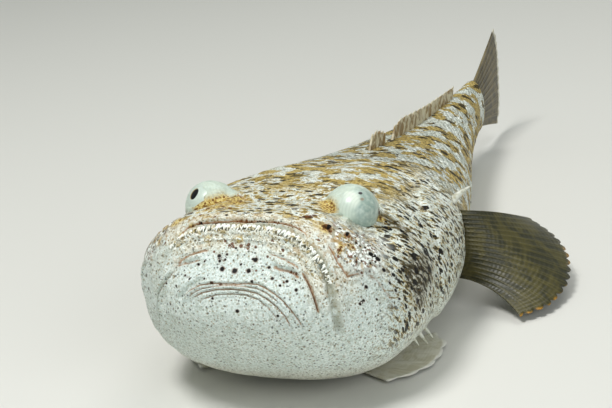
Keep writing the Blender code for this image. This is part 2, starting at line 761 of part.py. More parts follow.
def build_trunk(parts, tools, materials):
    stretches = [("trunk_front", HEAD_END + GAP, TRUNK_SPLIT), ("trunk_rear", TRUNK_SPLIT + GAP, STALK_SPLIT),
                 ("tail_stalk", STALK_SPLIT + GAP, BODY_END)]
    for name, front, back in stretches:
        trunk = make_body(name, parts)
        if name == "trunk_front":
            spines = []
            for side in (1, -1):
                root = place(side * SHOULDER_SPINE_ROOT[0], *SHOULDER_SPINE_ROOT[1:])
                tip = place(side * SHOULDER_SPINE_TIP[0], *SHOULDER_SPINE_TIP[1:])
                spines.append(spike(f"shoulder_{side}", tools, root, tip, SHOULDER_SPINE_RADIUS,
                                    SPINE_TIP_RADIUS, SHOULDER_SPINE_SIDES))
            join_all(trunk, spines)
            for side in (1, -1):
                boolean(trunk, cover_block(f"cover_back_{side}", tools, side, GAP), "DIFFERENCE")
        boolean(trunk, slab(name + "_room", tools, front, back), "INTERSECT")
        keep_largest_shell(trunk)
        trunk.data.materials.append(materials["skin"])


def build_eyes(parts, materials):
    for side, label in ((1, "left"), (-1, "right")):
        eye = ball(f"eye_{label}", parts, eye_centre(side), EYE_RADIUS, gaze(side))
        eye.data.materials.append(materials["eye"])


def build_fins(parts, tools, materials):
    fins = [("first_dorsal_fin", first_dorsal, FIRST_DORSAL["rays"], FIRST_DORSAL["rows"]),
            ("second_dorsal_fin", second_dorsal, SECOND_DORSAL["rays"], SECOND_DORSAL["rows"]),
            ("anal_fin", anal_fin, ANAL["rays"], ANAL["rows"]),
            ("caudal_fin", caudal_fin, CAUDAL["rays"], CAUDAL["rows"])]
    for side, label in ((1, "left"), (-1, "right")):
        fins.append((f"pectoral_fin_{label}", pectoral_fin(side), PECTORAL_RAYS, PECTORAL_ROWS))
        fins.append((f"pelvic_fin_{label}", pelvic_fin(side), PELVIC_RAYS, PELVIC_ROWS))
    clearance = make_body("fin_clearance", tools, GAP + FIN_CLEARANCE)
    for name, surface, rays, rows in fins:
        fin = fin_sheet(name, parts, surface, rays, rows)
        boolean(fin, clearance, "DIFFERENCE", keep_tool=True)
        keep_largest_shell(fin)
        fin.data.materials.append(materials["fin"])
    drop(clearance)


def build():
    remove_startup_objects()
    parts = new_collection("stargazer")
    tools = new_collection("cutters")
    materials = {
        "skin": principled("mottled skin", (0.62, 0.56, 0.42), 0.5),
        "chin": principled("pale chin skin", (0.74, 0.74, 0.68), 0.45),
        "eye": principled("clouded eye", (0.66, 0.72, 0.66), 0.12),
        "fin": principled("olive fin", (0.2, 0.17, 0.09), 0.5),
    }
    plain = make_body("plain", tools)
    tree = surface_of(plain)
    build_head(parts, tools, tree, materials)
    build_jaw(parts, tools, tree, materials)
    build_covers(parts, tools, materials)
    build_trunk(parts, tools, materials)
    build_eyes(parts, materials)
    build_fins(parts, tools, materials)
    drop(plain)
    for obj in parts.objects:
        obj.data.shade_smooth()
        obj.data.set_sharp_from_angle(angle=SHARP_ANGLE)


build()
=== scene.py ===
import math
import random

import bmesh
import bpy
import numpy as np
from mathutils import Matrix, Vector, noise
from mathutils.bvhtree import BVHTree


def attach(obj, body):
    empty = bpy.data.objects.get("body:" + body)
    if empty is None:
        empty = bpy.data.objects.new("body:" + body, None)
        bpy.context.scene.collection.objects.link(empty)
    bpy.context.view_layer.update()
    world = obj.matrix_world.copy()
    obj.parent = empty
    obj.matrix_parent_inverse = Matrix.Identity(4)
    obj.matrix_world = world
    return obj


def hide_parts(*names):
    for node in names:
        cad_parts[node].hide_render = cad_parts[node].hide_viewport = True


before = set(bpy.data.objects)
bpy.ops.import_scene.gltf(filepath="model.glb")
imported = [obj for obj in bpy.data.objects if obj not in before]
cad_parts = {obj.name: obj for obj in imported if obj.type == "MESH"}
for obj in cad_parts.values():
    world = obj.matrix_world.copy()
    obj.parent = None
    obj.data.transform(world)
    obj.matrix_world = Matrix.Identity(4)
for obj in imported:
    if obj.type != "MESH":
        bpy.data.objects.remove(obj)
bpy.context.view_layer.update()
print("frame loaded")

mm = 0.001
restS = 100.0      # the row frame's origin lies this far behind the chin


# Points of the fish are (x, s, z) in millimetres: x to its left, s back from the chin, z up.
def toMetres(points):
    return (np.asarray(points, float) - (0, restS, 0)) * mm


def toFish(points):
    return np.asarray(points, float) / mm + (0, restS, 0)


def readPoints(mesh):
    flat = np.empty(len(mesh.vertices) * 3, np.float32)
    mesh.vertices.foreach_get("co", flat)
    return toFish(flat.reshape(-1, 3))


def writePoints(mesh, points):
    mesh.vertices.foreach_set("co", toMetres(points).astype(np.float32).ravel())
    mesh.update()


def readNormals(mesh):
    flat = np.empty(len(mesh.vertices) * 3, np.float32)
    mesh.vertices.foreach_get("normal", flat)
    return flat.reshape(-1, 3).astype(float)


def writeMask(mesh, name, values):
    values = np.asarray(values, np.float32)
    kind, field = ("FLOAT", "value") if values.ndim == 1 else ("FLOAT_VECTOR", "vector")
    mesh.attributes.new(name, kind, "POINT").data.foreach_set(field, values.ravel())


def makeObject(bm, name):
    mesh = bpy.data.meshes.new(name)
    bm.to_mesh(mesh)
    bm.free()
    obj = bpy.data.objects.new(name, mesh)
    bpy.context.scene.collection.objects.link(obj)
    return obj


def finishPiece(obj, material, slot, *nodes):
    obj.data.materials.clear()
    obj.data.materials.append(material)
    obj.data.shade_smooth()
    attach(obj, "root")
    if nodes:
        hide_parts(*nodes)
    return obj


def ease(value, low, high):
    t = np.clip((np.asarray(value, float) - low) / (high - low), 0, 1)
    return t * t * (3 - 2 * t)


def mix(a, b, t):
    return a + (b - a) * t


# A curve through the knots that never overshoots.
def smoothTrack(knots, values):
    knots = np.asarray(knots, float)
    values = np.asarray(values, float)
    steps = np.diff(knots)
    slopes = np.diff(values) / steps
    tangents = np.zeros(len(knots))
    tangents[0], tangents[-1] = slopes[0], slopes[-1]
    for i in range(1, len(knots) - 1):
        if slopes[i - 1] * slopes[i] > 0:
            before = 2 * steps[i] + steps[i - 1]
            after = steps[i] + 2 * steps[i - 1]
            tangents[i] = (before + after) / (before / slopes[i - 1] + after / slopes[i])

    def at(x):
        x = np.asarray(x, float)
        i = np.clip(np.searchsorted(knots, x) - 1, 0, len(steps) - 1)
        h = steps[i]
        t = np.clip((x - knots[i]) / h, 0, 1)
        return (values[i] * (1 + 2 * t) * (1 - t) ** 2 + tangents[i] * h * t * (1 - t) ** 2
                + values[i + 1] * t * t * (3 - 2 * t) + tangents[i + 1] * h * t * t * (t - 1))

    return at


liftAllowed = 5.0      # mm off the skin at which a mark still falls on it


# What is left of each arm along the skin.
def alongSkin(arms, normals):
    lift = np.sum(arms * normals, axis=1)
    return arms - np.clip(lift, -liftAllowed, liftAllowed)[:, None] * normals


# Distance of each point from a polyline, and how far along it the nearest place is, 0 to 1.
def lineDistance(points, line, normals=None):
    points = np.asarray(points, float)
    line = np.asarray(line, float)
    lengths = np.linalg.norm(np.diff(line, axis=0), axis=1)
    total = lengths.sum()
    best = np.full(len(points), 1e9)
    along = np.zeros(len(points))
    start = 0.0
    for a, b, length in zip(line[:-1], line[1:], lengths):
        share = np.clip((points - a) @ (b - a) / length ** 2, 0, 1)
        arms = points - a - share[:, None] * (b - a)
        away = np.linalg.norm(arms if normals is None else alongSkin(arms, normals), axis=1)
        nearer = away < best
        best = np.where(nearer, away, best)
        along = np.where(nearer, (start + share * length) / total, along)
        start += length
    return best, along


bodyShape = {
    # s, half width, top, bottom, height of the widest line, squareness above and below it
    "stations": [
        (-8.5, 0.0, 36.0, 36.0, 36.0, 2.4, 2.2), (-7.5, 12.0, 40.6, 30.8, 36.0, 2.5, 2.2),
        (-5.0, 19.0, 44.6, 26.0, 36.0, 2.6, 2.3), (-2.0, 22.8, 48.4, 22.0, 36.0, 2.6, 2.3),
        (0.0, 25.2, 51.2, 19.6, 35.6, 2.6, 2.4), (3.0, 28.2, 55.6, 16.2, 35.0, 2.6, 2.4),
        (8.0, 32.4, 57.8, 11.6, 34.0, 2.6, 2.5), (15.0, 36.9, 57.6, 6.8, 32.0, 2.62, 2.6),
        (25.0, 38.8, 56.4, 2.6, 29.0, 2.4, 2.6), (40.0, 39.4, 55.2, 0.2, 27.0, 2.4, 2.6),
        (60.0, 39.2, 53.4, -0.7, 25.0, 2.6, 2.6), (80.0, 37.8, 50.0, -0.7, 24.0, 2.4, 2.6),
        (100.0, 35.0, 46.6, -0.7, 23.0, 2.3, 2.5), (118.0, 31.2, 43.6, -0.5, 21.5, 2.2, 2.3),
        (150.0, 24.0, 39.2, 4.0, 20.5, 2.2, 2.1), (180.0, 16.5, 36.4, 8.2, 21.0, 2.1, 2.0),
        (210.0, 10.5, 34.8, 11.2, 22.0, 2.0, 2.0), (235.0, 6.6, 33.4, 12.4, 22.4, 2.0, 2.0),
        (246.0, 5.0, 33.8, 11.8, 22.6, 2.0, 2.0), (251.0, 2.2, 32.6, 12.8, 22.6, 2.0, 2.0)],
    # x, s, z of each swelling, its reach in each direction, its height; mirrored but for the first
    "swellings": [
        (0.0, 22.0, 58.0, 9.0, 15.0, 12.0, -1.5), (27.0, 24.0, 49.5, 8.0, 9.0, 9.0, -4.5),
        (27.0, 44.0, 52.0, 8.0, 12.0, 9.0, 1.3),
        (36.0, 34.0, 30.0, 12.0, 13.0, 12.0, 1.4), (39.0, 72.0, 27.0, 12.0, 14.0, 14.0, 1.0),
        (14.0, 74.0, 54.0, 7.0, 12.0, 8.0, 0.8)],
    "pointsRound": 264,
    "rings": 256,
    # share of the rings passed, and the root of the distance from the chin there: close on the face
    "ringTrack": [(0.0, 0.0), (0.26, 2.95), (0.52, 6.2), (0.76, 10.6), (1.0, 16.109)],
    "crownShare": 0.28,      # how much closer the points stand on the back than on the belly
}

stations = np.array(bodyShape["stations"])
noseKnots = np.sqrt(stations[:, 0] - stations[0, 0])
halfWidth, top, bottom, widest, squareUp, squareDown = [
    smoothTrack(noseKnots, stations[:, column]) for column in range(1, 7)]
ringTrack = smoothTrack(*zip(*bodyShape["ringTrack"]))


def noseDistance(s):
    return np.sqrt(np.maximum(np.asarray(s, float) - stations[0, 0], 0))


def bodyAt(q, angle):
    s = stations[0, 0] + q * q
    across, up = np.cos(angle), np.sin(angle)
    power = np.where(up > 0, squareUp(q), squareDown(q))
    reach = (np.abs(across) ** power + np.abs(up) ** power) ** (-1 / power)
    height = np.where(up > 0, top(q) - widest(q), widest(q) - bottom(q))
    x = halfWidth(q) * reach * across
    z = widest(q) + height * reach * up
    rise = 0
    for mx, ms, mz, rx, rs, rz, size in bodyShape["swellings"]:
        away = ((np.abs(x) - mx) / rx) ** 2 + ((s - ms) / rs) ** 2 + ((z - mz) / rz) ** 2
        rise = rise + size * np.exp(-away)
    away = np.hypot(x, z - widest(q)) + 1e-6
    return np.stack([x + rise * x / away, s, z + rise * (z - widest(q)) / away], axis=-1)


def flankX(s, z):
    q = noseDistance(s)
    low, high = widest(q) - bottom(q), top(q) - widest(q)
    share = np.where(z > widest(q), (z - widest(q)) / high, (widest(q) - z) / low)
    power = np.where(z > widest(q), squareUp(q), squareDown(q))
    return halfWidth(q) * (1 - np.minimum(np.abs(share), 1) ** power) ** (1 / power)


mouth = {
    "halfWidth": 25.5, "top": 55.3, "spring": 28.0, "squareness": 3.0,
    "gapeDepth": 1.3, "gapeWidth": 0.5,
    "upperLip": (1.5, 1.0, 0.7),          # middle of the lip out from the gape, half width, height
    "lowerLip": (-1.5, 1.1, 0.65),
    "end": 24.0, "endBlend": 3.0,         # height of the mouth's lower ends
    "back": (14, 9),                      # s over which the lips rise out of the head
    "crest": (46, 53), "crestShare": 0.5, # heights over which the gape gets shallow at its top
    "foot": (35, 44), "footShare": 0.5,   # and at its lower ends
    "shutSide": (11, 17), "shutShare": 0.7,
    "lipReach": (9, 2),                   # way from the gape over which the folds of the lips fade in
}


def archOutline(offset=0.0, count=91):
    angle = np.linspace(0, math.pi, count)
    across, up = np.cos(angle), np.sin(angle)
    power = mouth["squareness"]
    reach = (np.abs(across) ** power + up ** power) ** (-1 / power)
    return np.stack([(mouth["halfWidth"] + offset) * reach * across,
                     mouth["spring"] + (mouth["top"] + offset - mouth["spring"]) * reach * up], axis=-1)


# Distance outwards from the gape, seen from in front.
def gapeDistance(points):
    flat = points[:, [0, 2]]
    away, _ = lineDistance(flat, archOutline())
    power = mouth["squareness"]
    rise = np.maximum(flat[:, 1] - mouth["spring"], 0) / (mouth["top"] - mouth["spring"])
    inside = np.abs(flat[:, 0] / mouth["halfWidth"]) ** power + rise ** power < 1
    return np.where(inside, -away, away)


eyes = {
    "centre": (21.5, 32.0, 51.4), "radius": 7.1, "pointsRound": 72, "rings": 48,
    "gaze": {1: (50.0, 10.0), -1: (31.0, 40.0)},     # left and right: degrees outward and upward
    "turretRadius": 8.0, "turretBack": 1.2, "turretDrop": 0.6, "turretReach": 16,
    "turretBlend": 2.2,                              # mm over which the turret runs into the head
    "turretFoot": (-0.75, -0.3),                     # no turret below this share of its height
    "ripple": 2.2, "rippleHeight": 0.25,
    "opening": {1: 62.0, -1: 27.0},                  # half angle of the opening in the lids
    "lidEdge": (-2, 1.5),                            # degrees over which the lid starts
    "lidHeight": 0.05, "lidAngle": 5.0, "lidWidth": 7, "lidGap": 0.12, "lidReach": 14,
    "socket": 1.3,                                   # how far the skin lies inside the ball
}


def gaze(side):
    outward, upward = np.radians(eyes["gaze"][side])
    return np.array([side * math.sin(outward) * math.cos(upward), -math.cos(outward) * math.cos(upward),
                     math.sin(upward)])


def eyeCentre(side):
    x, s, z = eyes["centre"]
    return np.array([side * x, s, z])


# Creases of the face: a line along the bottom, depth, half width, height of the ridges beside it,
# and how strongly its floor is darkened, partly by brown stain of the skin and partly by painted shade.
creases = [
    {"line": [(-19.6, 2.0, 51.4), (-18.1, 2.7, 53.0), (-16.6, 3.5, 54.6), (-13.5, 3.9, 55.7),
              (-8.6, 4.0, 56.4), (-3.0, 4.3, 56.9), (3.7, 4.5, 57.1), (7.7, 4.7, 57.0), (11.8, 4.6, 56.6),
              (15.0, 4.3, 55.9), (17.4, 3.8, 54.7), (19.6, 2.9, 52.8)],
     "depth": 0.9, "width": 0.42, "ridge": 0.3, "stainAndShade": 0.75},
    # folds of the lower jaw beside the chin
    {"line": [(-8.4, -0.5, 50.0), (-10.8, -0.7, 49.7), (-12.9, -0.7, 49.0), (-15.4, -0.9, 47.9),
              (-17.1, -1.4, 46.7), (-18.6, -2.3, 44.6)],
     "depth": 0.9, "width": 0.42, "ridge": 0.45, "stainAndShade": 0.55},
    {"line": [(-18.2, -2.0, 45.2), (-19.4, -2.6, 43.6), (-20.8, -2.8, 42.1), (-22.7, -2.7, 39.9),
              (-24.4, -1.6, 37.0), (-25.4, -0.4, 33.6), (-25.8, 0.2, 29.6)],
     "depth": 1.3, "width": 0.48, "ridge": 0.7, "stainAndShade": 0.55},
    {"line": [(-18.2, -1.9, 45.2), (-16.2, -1.9, 46.2), (-13.9, -2.1, 46.8), (-10.8, -2.1, 47.8)],
     "depth": 0.8, "width": 0.5, "ridge": 0.45, "stainAndShade": 0.4},
    {"line": [(8.2, -0.7, 49.9), (11.2, -1.0, 49.2), (13.8, -1.2, 48.2), (16.2, -1.4, 47.0),
              (17.6, -1.8, 45.7)],
     "depth": 0.8, "width": 0.36, "ridge": 0.45, "stainAndShade": 0.5},
    {"line": [(17.4, -1.8, 45.8), (18.2, -2.0, 45.1), (19.4, -2.5, 43.6), (20.4, -2.9, 41.8),
              (21.4, -3.3, 39.4), (22.0, -3.2, 36.8), (22.5, -3.0, 33.6)],
     "depth": 1.1, "width": 0.42, "ridge": 0.5, "stainAndShade": 0.72},
    {"line": [(9.6, -2.4, 47.2), (12.2, -2.9, 46.4), (14.6, -2.5, 45.9), (16.1, -2.5, 45.2),
              (17.8, -2.8, 43.6)],
     "depth": 1.1, "width": 0.55, "ridge": 0.55, "stainAndShade": 0.5},
    # folds under the chin, one inside the other
    {"line": [(-8.6, -5.3, 43.9), (-10.7, -5.6, 42.7), (-12.8, -6.0, 41.4), (-14.5, -6.2, 39.9),
              (-16.4, -6.1, 37.2)],
     "depth": 0.8, "width": 0.6, "ridge": 0.5, "stainAndShade": 0.2},
    {"line": [(-15.9, -6.3, 36.5), (-13.2, -6.6, 40.1), (-9.7, -6.3, 42.0), (-6.5, -6.2, 42.7),
              (-3.4, -6.3, 42.8), (1.3, -6.3, 42.9), (4.4, -6.1, 43.2), (6.6, -5.9, 43.0),
              (9.0, -6.3, 42.2), (11.6, -6.7, 40.8), (14.0, -6.8, 38.7), (16.2, -6.4, 35.6),
              (17.8, -5.1, 31.8), (18.4, -3.8, 28.0)],
     "depth": 0.7, "width": 0.3, "ridge": 0.4, "stainAndShade": 0.55},
    {"line": [(-14.4, -6.8, 37.2), (-11.8, -7.0, 39.9), (-9.1, -6.8, 41.2), (-5.0, -6.6, 42.1),
              (-1.0, -6.5, 42.4), (3.0, -6.5, 42.4), (6.4, -6.4, 42.0), (9.4, -6.8, 41.0),
              (12.0, -7.1, 39.2), (14.2, -6.9, 36.6)],
     "depth": 0.45, "width": 0.24, "ridge": 0.25, "stainAndShade": 0.5},
    {"line": [(-13.7, -7.0, 36.4), (-11.2, -7.3, 39.0), (-8.7, -7.2, 40.3), (-4.8, -7.0, 41.3),
              (-0.6, -6.9, 41.6), (3.0, -7.0, 41.5), (6.6, -7.0, 40.9), (9.7, -7.5, 39.5),
              (12.2, -7.4, 37.3), (14.2, -6.9, 34.5), (15.1, -6.0, 31.0), (15.2, -5.2, 28.3)],
     "depth": 0.6, "width": 0.28, "ridge": 0.35, "stainAndShade": 0.55},
    {"line": [(-11.2, -7.6, 36.6), (-8.6, -7.8, 38.7), (-4.7, -7.6, 40.0), (-0.5, -7.5, 40.5),
              (3.7, -7.5, 40.4), (7.2, -7.6, 39.3), (9.9, -7.8, 37.2), (11.8, -7.4, 34.3),
              (12.6, -6.6, 31.4)],
     "depth": 0.5, "width": 0.26, "ridge": 0.3, "stainAndShade": 0.45},
    # edge of the cheek plate
    {"line": [(23.2, 4.6, 52.0), (24.6, 4.2, 49.6), (26.0, 3.8, 46.6), (28.4, 4.4, 42.4),
              (31.2, 8.6, 42.2)],
     "depth": 0.7, "width": 0.36, "ridge": 0.5, "stainAndShade": 0.62, "mirror": True},
    {"line": [(31.4, 8.8, 42.1), (33.4, 11.5, 39.4), (34.8, 13.6, 35.4), (36.0, 16.2, 31.0)],
     "depth": 0.8, "width": 0.6, "ridge": 0.5, "stainAndShade": 0.35, "mirror": True},
    # between the eyes and the forehead
    {"line": [(-14.0, 33.8, 55.1), (-11.6, 30.8, 55.4), (-9.1, 27.6, 55.5), (-7.0, 25.8, 55.5)],
     "depth": 0.6, "width": 0.45, "ridge": 0.25, "stainAndShade": 0.8, "mirror": True},
]

# Where the ridges stand and the stain and painted shade end, in half widths, and how the crease and its
# stain and painted shade thin out.
creaseShape = {"ridgeAt": 2, "stainAndShadeWidth": 1.2, "ends": 6, "endPower": 0.6, "stainAndShadeEnds": 8}


def mirrored(line):
    return [(-x, s, z) for x, s, z in line]


def creaseLines():
    for crease in creases:
        yield crease, crease["line"]
        if crease.get("mirror"):
            yield crease, mirrored(crease["line"])


# Full along a line, and down to nothing over one of so many parts of it at each end.
def endTaper(along, parts):
    return np.clip(np.minimum(along, 1 - along) * parts, 0, 1)


gillCover = {"front": 53.0, "back": 89.0, "low": 7.0, "high": 46.0, "squareness": 2.8, "innerX": 22.0,
             "raise": 0.75, "raiseEdge": (1.02, 0.94),      # shares of the half size over which it rises
             "slit": 0.9, "slitWidth": 0.8, "slitAt": 1.03, "slitFrom": (56, 66), "halfSize": 17}


# How far outside the gill cover's edge each point is, as a share of its half size.
def coverShare(points):
    middleS = (gillCover["front"] + gillCover["back"]) / 2
    middleZ = (gillCover["low"] + gillCover["high"]) / 2
    alongS = np.abs(points[:, 1] - middleS) / (gillCover["back"] - gillCover["front"]) * 2
    alongZ = np.abs(points[:, 2] - middleZ) / (gillCover["high"] - gillCover["low"]) * 2
    power = gillCover["squareness"]
    return (alongS ** power + alongZ ** power) ** (1 / power)


# Centre of each nostril, radius of its rim, height of the rim, depth of the pit.
nostrils = [((21.9, 9.2, 54.0), 1.2, 0.35, 0.9), ((26.4, 11.4, 51.3), 0.85, 0.3, 0.7)]
rimWidth, pitWidth = 0.5, 0.7      # as shares of the rim's radius

# Stains of the skin: centre, reach, strength, and the side that has it, or 0 for both.
stains = {
    # orange-brown patches by the eyes and nostrils
    "amber": [
        ((-22.7, 25.0, 52.6), 1.3, 1.0, -1), ((-20.8, 25.1, 53.3), 1.6, 1.1, -1),
        ((-19.1, 25.6, 53.7), 1.7, 1.2, -1), ((-17.4, 26.4, 54.0), 1.8, 1.2, -1),
        ((-15.1, 28.3, 55.0), 1.9, 1.2, -1), ((-12.5, 27.4, 55.1), 2.1, 1.2, -1),
        ((-10.2, 26.2, 55.3), 2.2, 1.2, -1), ((-8.6, 21.4, 56.2), 2.4, 1.1, -1),
        ((-11.4, 21.3, 56.0), 2.8, 1.1, -1), ((-15.4, 20.5, 56.0), 2.6, 1.1, -1),
        ((-11.6, 15.6, 57.0), 2.4, 1.0, -1), ((-13.8, 12.6, 56.8), 1.9, 0.8, -1),
        ((14.1, 28.0, 54.9), 1.5, 1.0, 1), ((15.4, 27.6, 54.8), 1.6, 1.1, 1),
        ((17.0, 26.4, 54.3), 1.6, 1.1, 1), ((15.9, 24.6, 54.6), 1.8, 1.2, 1),
        ((18.0, 24.3, 53.6), 1.5, 1.1, 1), ((17.5, 21.6, 54.4), 1.5, 1.1, 1),
        ((20.4, 19.4, 53.5), 1.3, 1.0, 1), ((24.5, 25.2, 49.7), 1.0, 0.9, 1),
        ((26.4, 24.1, 48.6), 1.0, 0.9, 1), ((27.6, 26.2, 47.6), 1.2, 0.9, 1),
        ((28.4, 29.4, 46.9), 1.3, 1.1, 1), ((29.0, 31.8, 47.1), 1.2, 1.1, 1),
        ((28.9, 34.0, 48.4), 1.0, 1.1, 1), ((0.2, 0.9, 52.9), 0.9, 1.1, 0),
        ((-9.3, 0.8, 52.5), 0.9, 1.0, -1), ((-11.0, 5.6, 57.2), 1.0, 1.0, -1),
        ((18.4, 9.2, 55.6), 0.9, 0.9, 1), ((11.3, 8.6, 57.3), 1.2, 0.9, 1),
        ((21.4, 8.6, 54.2), 1.9, 1.2, 0), ((26.4, 11.0, 51.3), 1.1, 1.0, 0),
        ((28.5, 9.4, 48.9), 0.8, 0.9, 0), ((25.8, 5.7, 49.1), 1.1, 0.8, 0),
        ((13.4, 7.1, 57.1), 0.8, 1.0, -1), ((17.8, 2.5, 52.6), 0.7, 1.2, -1),
        ((15.1, 3.7, 55.2), 0.8, 1.0, -1), ((26.4, 6.6, 50.0), 0.8, 0.9, 0),
        ((24.2, 16.4, 52.0), 1.1, 0.7, 0)],
    # knobbly white and brown skin between the eyes, the nostrils and the cheek plates
    "rough": [((24.2, 9.4, 52.6), 3.0, 1.0, 0), ((25.1, 13.9, 52.1), 3.6, 1.2, 0),
              ((28.0, 11.0, 51.0), 3.4, 1.1, 0), ((29.4, 13.4, 49.6), 3.8, 1.2, 0),
              ((26.3, 6.4, 49.4), 2.6, 1.0, 0), ((28.6, 8.7, 48.4), 3.2, 1.0, 0),
              ((30.9, 15.0, 47.0), 4.2, 1.1, 0), ((30.4, 8.6, 45.5), 3.2, 0.9, 0),
              ((22.6, 17.5, 53.0), 3.4, 1.1, 0), ((27.0, 20.0, 49.5), 3.4, 1.1, 0),
              ((31.5, 22.9, 45.2), 3.2, 0.8, 0), ((32.6, 11.8, 44.0), 3.0, 0.8, 0)],
    # dark olive patch on the flank, and brown ones above it
    "olive": [((37.6, 24.4, 38.8), 1.8, 0.8, 0), ((38.6, 25.6, 36.6), 2.6, 1.1, 0),
              ((39.8, 27.4, 33.4), 3.0, 1.2, 0), ((40.5, 32.7, 31.4), 3.4, 1.3, 0),
              ((40.2, 39.4, 31.6), 3.6, 1.2, 0), ((39.2, 31.4, 36.6), 3.0, 1.1, 0),
              ((30.2, 35.6, 47.9), 2.4, 0.9, 0), ((29.0, 34.8, 49.4), 1.5, 0.8, 0),
              ((39.8, 38.2, 34.6), 3.0, 1.0, 0), ((40.6, 30.0, 28.0), 3.6, 1.0, 0),
              ((33.3, 36.6, 45.4), 2.6, 0.75, 0), ((35.3, 37.4, 43.4), 2.2, 0.75, 0),
              ((30.6, 52.4, 47.4), 2.4, 0.6, 0)],
}


# How strongly one kind of stain covers each point.
def stainField(points, name):
    both = points * np.where(points[:, :1] < 0, (-1, 1, 1), (1, 1, 1))
    field = np.zeros(len(points))
    for centre, reach, strength, side in stains[name]:
        near = strength * np.exp(-(np.linalg.norm(both - np.abs(centre), axis=1) / reach) ** 2)
        field += near if side == 0 else near * ease(points[:, 0] * side, -1, 1)
    return np.clip(field, 0, 1)


# Relief of the skin: how far apart its bumps are and how high, in mm.
relief = {"granules": (1.6, 0.16), "furrows": (4.2, 0.22), "lipFolds": (1.1, 0.18), "knobs": (1.7, 0.42),
          "headEnd": (96, 84), "trunkShare": 0.4,         # granules are lower behind the head
          "upward": (-0.3, 0.4), "underShare": 0.35,      # and on what faces down
          "furrowFoot": (2, 8), "lipsEnd": 26,
          "coatDepth": 0.2, "coatFrom": (88, 98)}         # how deep the scales lie in the body's outline


def noiseField(points, size, seed):
    shift = Vector((seed * 7.31, seed * 3.17, seed * 5.53))
    return np.array([noise.noise(Vector(p) / size + shift) for p in points])


# The gape is pressed nearly shut on the fish's right side.
def gapeShare(points):
    return 1 - mouth["shutShare"] * ease(-points[:, 0], *mouth["shutSide"])


# Moves points of the plain body to the finished skin, along the body's normals.
def dressPoints(points, normals):
    moved = points.copy()
    s, z = points[:, 1], points[:, 2]
    rise = np.zeros(len(points))

    away = gapeDistance(points)
    end, blend = mouth["end"], mouth["endBlend"]
    fade = ease(z, end - blend, end + blend) * ease(s, *mouth["back"])
    gape = mouth["gapeDepth"] * mix(1.0, mouth["crestShare"], ease(z, *mouth["crest"]))
    gape = gape * np.exp(-(away / mouth["gapeWidth"]) ** 2)
    gape = gape * gapeShare(points) * mix(mouth["footShare"], 1.0, ease(z, *mouth["foot"]))
    lips = sum(height * np.exp(-((away - middle) / width) ** 2)
               for middle, width, height in (mouth["upperLip"], mouth["lowerLip"]))
    rise += fade * (lips - gape)

    for crease, line in creaseLines():
        distance, along = lineDistance(points, line, normals)
        taper = endTaper(along, creaseShape["ends"]) ** creaseShape["endPower"]
        width = crease["width"]
        ridge = np.exp(-((distance - creaseShape["ridgeAt"] * width) / width) ** 2)
        rise += taper * (crease["ridge"] * ridge - crease["depth"] * np.exp(-(distance / width) ** 2))

    for centre, radius, height, depth in nostrils:
        distance = np.linalg.norm(np.stack([np.abs(points[:, 0]), s, z], axis=-1) - centre, axis=1)
        rise += height * np.exp(-((distance - radius) / (rimWidth * radius)) ** 2)
        rise -= depth * np.exp(-(distance / (pitWidth * radius)) ** 4)

    onSide = np.abs(points[:, 0]) > gillCover["innerX"]
    share = coverShare(points)
    rise += np.where(onSide, gillCover["raise"] * ease(share, *gillCover["raiseEdge"]), 0)
    outward = (share - gillCover["slitAt"]) * gillCover["halfSize"]
    slit = np.exp(-(outward / gillCover["slitWidth"]) ** 2) * ease(s, *gillCover["slitFrom"])
    rise -= np.where(onSide, gillCover["slit"] * slit, 0)

    head = ease(s, *relief["headEnd"])
    above = ease(normals[:, 2], *relief["upward"])
    size, height = relief["granules"]
    rise += (height * noiseField(points, size, 1) * mix(relief["underShare"], 1.0, above)
             * mix(relief["trunkShare"], 1.0, head))
    size, height = relief["furrows"]
    rise += height * noiseField(points * (1, 0.7, 1.6), size, 2) * ease(z, *relief["furrowFoot"])
    size, height = relief["lipFolds"]
    band = ease(np.abs(away), *mouth["lipReach"]) * fade
    rise += np.where(s < relief["lipsEnd"], height * band * noiseField(points * (1, 1, 0.45), size, 3), 0)
    size, height = relief["knobs"]
    rise += height * stainField(points, "rough") * noiseField(points, size, 6)
    rise -= relief["coatDepth"] * ease(s, *relief["coatFrom"])

    moved += normals * rise[:, None]

    for side in (1, -1):
        eye = eyeCentre(side)
        look = gaze(side)
        turret = eye - look * eyes["turretBack"] - (0, 0, eyes["turretDrop"])
        arm = moved - turret
        length = np.linalg.norm(arm, axis=1)
        near = length < eyes["turretReach"]
        ripple = noiseField(np.where(near[:, None], points, 0), eyes["ripple"], 4)
        reach = eyes["turretRadius"] + eyes["rippleHeight"] * ripple
        blend = eyes["turretBlend"]
        over = np.maximum(blend - np.abs(length - reach), 0) / blend
        pushed = np.maximum(length, reach) + over * over * blend / 4
        above = ease(arm[:, 2] / length, *eyes["turretFoot"])
        wanted = mix(length, pushed, above)
        moved = np.where(near[:, None], turret + arm * (wanted / length)[:, None], moved)

        arm = moved - eye
        length = np.linalg.norm(arm, axis=1)
        near = length < eyes["lidReach"]
        past = np.degrees(np.arccos(np.clip(arm @ look / length, -1, 1))) - eyes["opening"][side]
        lid = eyes["lidHeight"] * np.exp(-((past - eyes["lidAngle"]) / eyes["lidWidth"]) ** 2)
        outside = np.maximum(length, eyes["radius"] + eyes["lidGap"]) + lid
        wanted = mix(eyes["radius"] - eyes["socket"], outside, ease(past, *eyes["lidEdge"]))
        moved = np.where(near[:, None], eye + arm * (wanted / length)[:, None], moved)

    moved[:, 2] = np.maximum(moved[:, 2], 0.0)
    return moved


blurStep = 0.35        # mm over which the rim of a spot fades
farAway = 4.0          # what a point with no spot near it gets
flankSlant = 43.0      # degrees by which the lines of the flank slope down towards the tail
flankWay = np.array([0.0, math.cos(math.radians(flankSlant)), -math.sin(math.radians(flankSlant))])

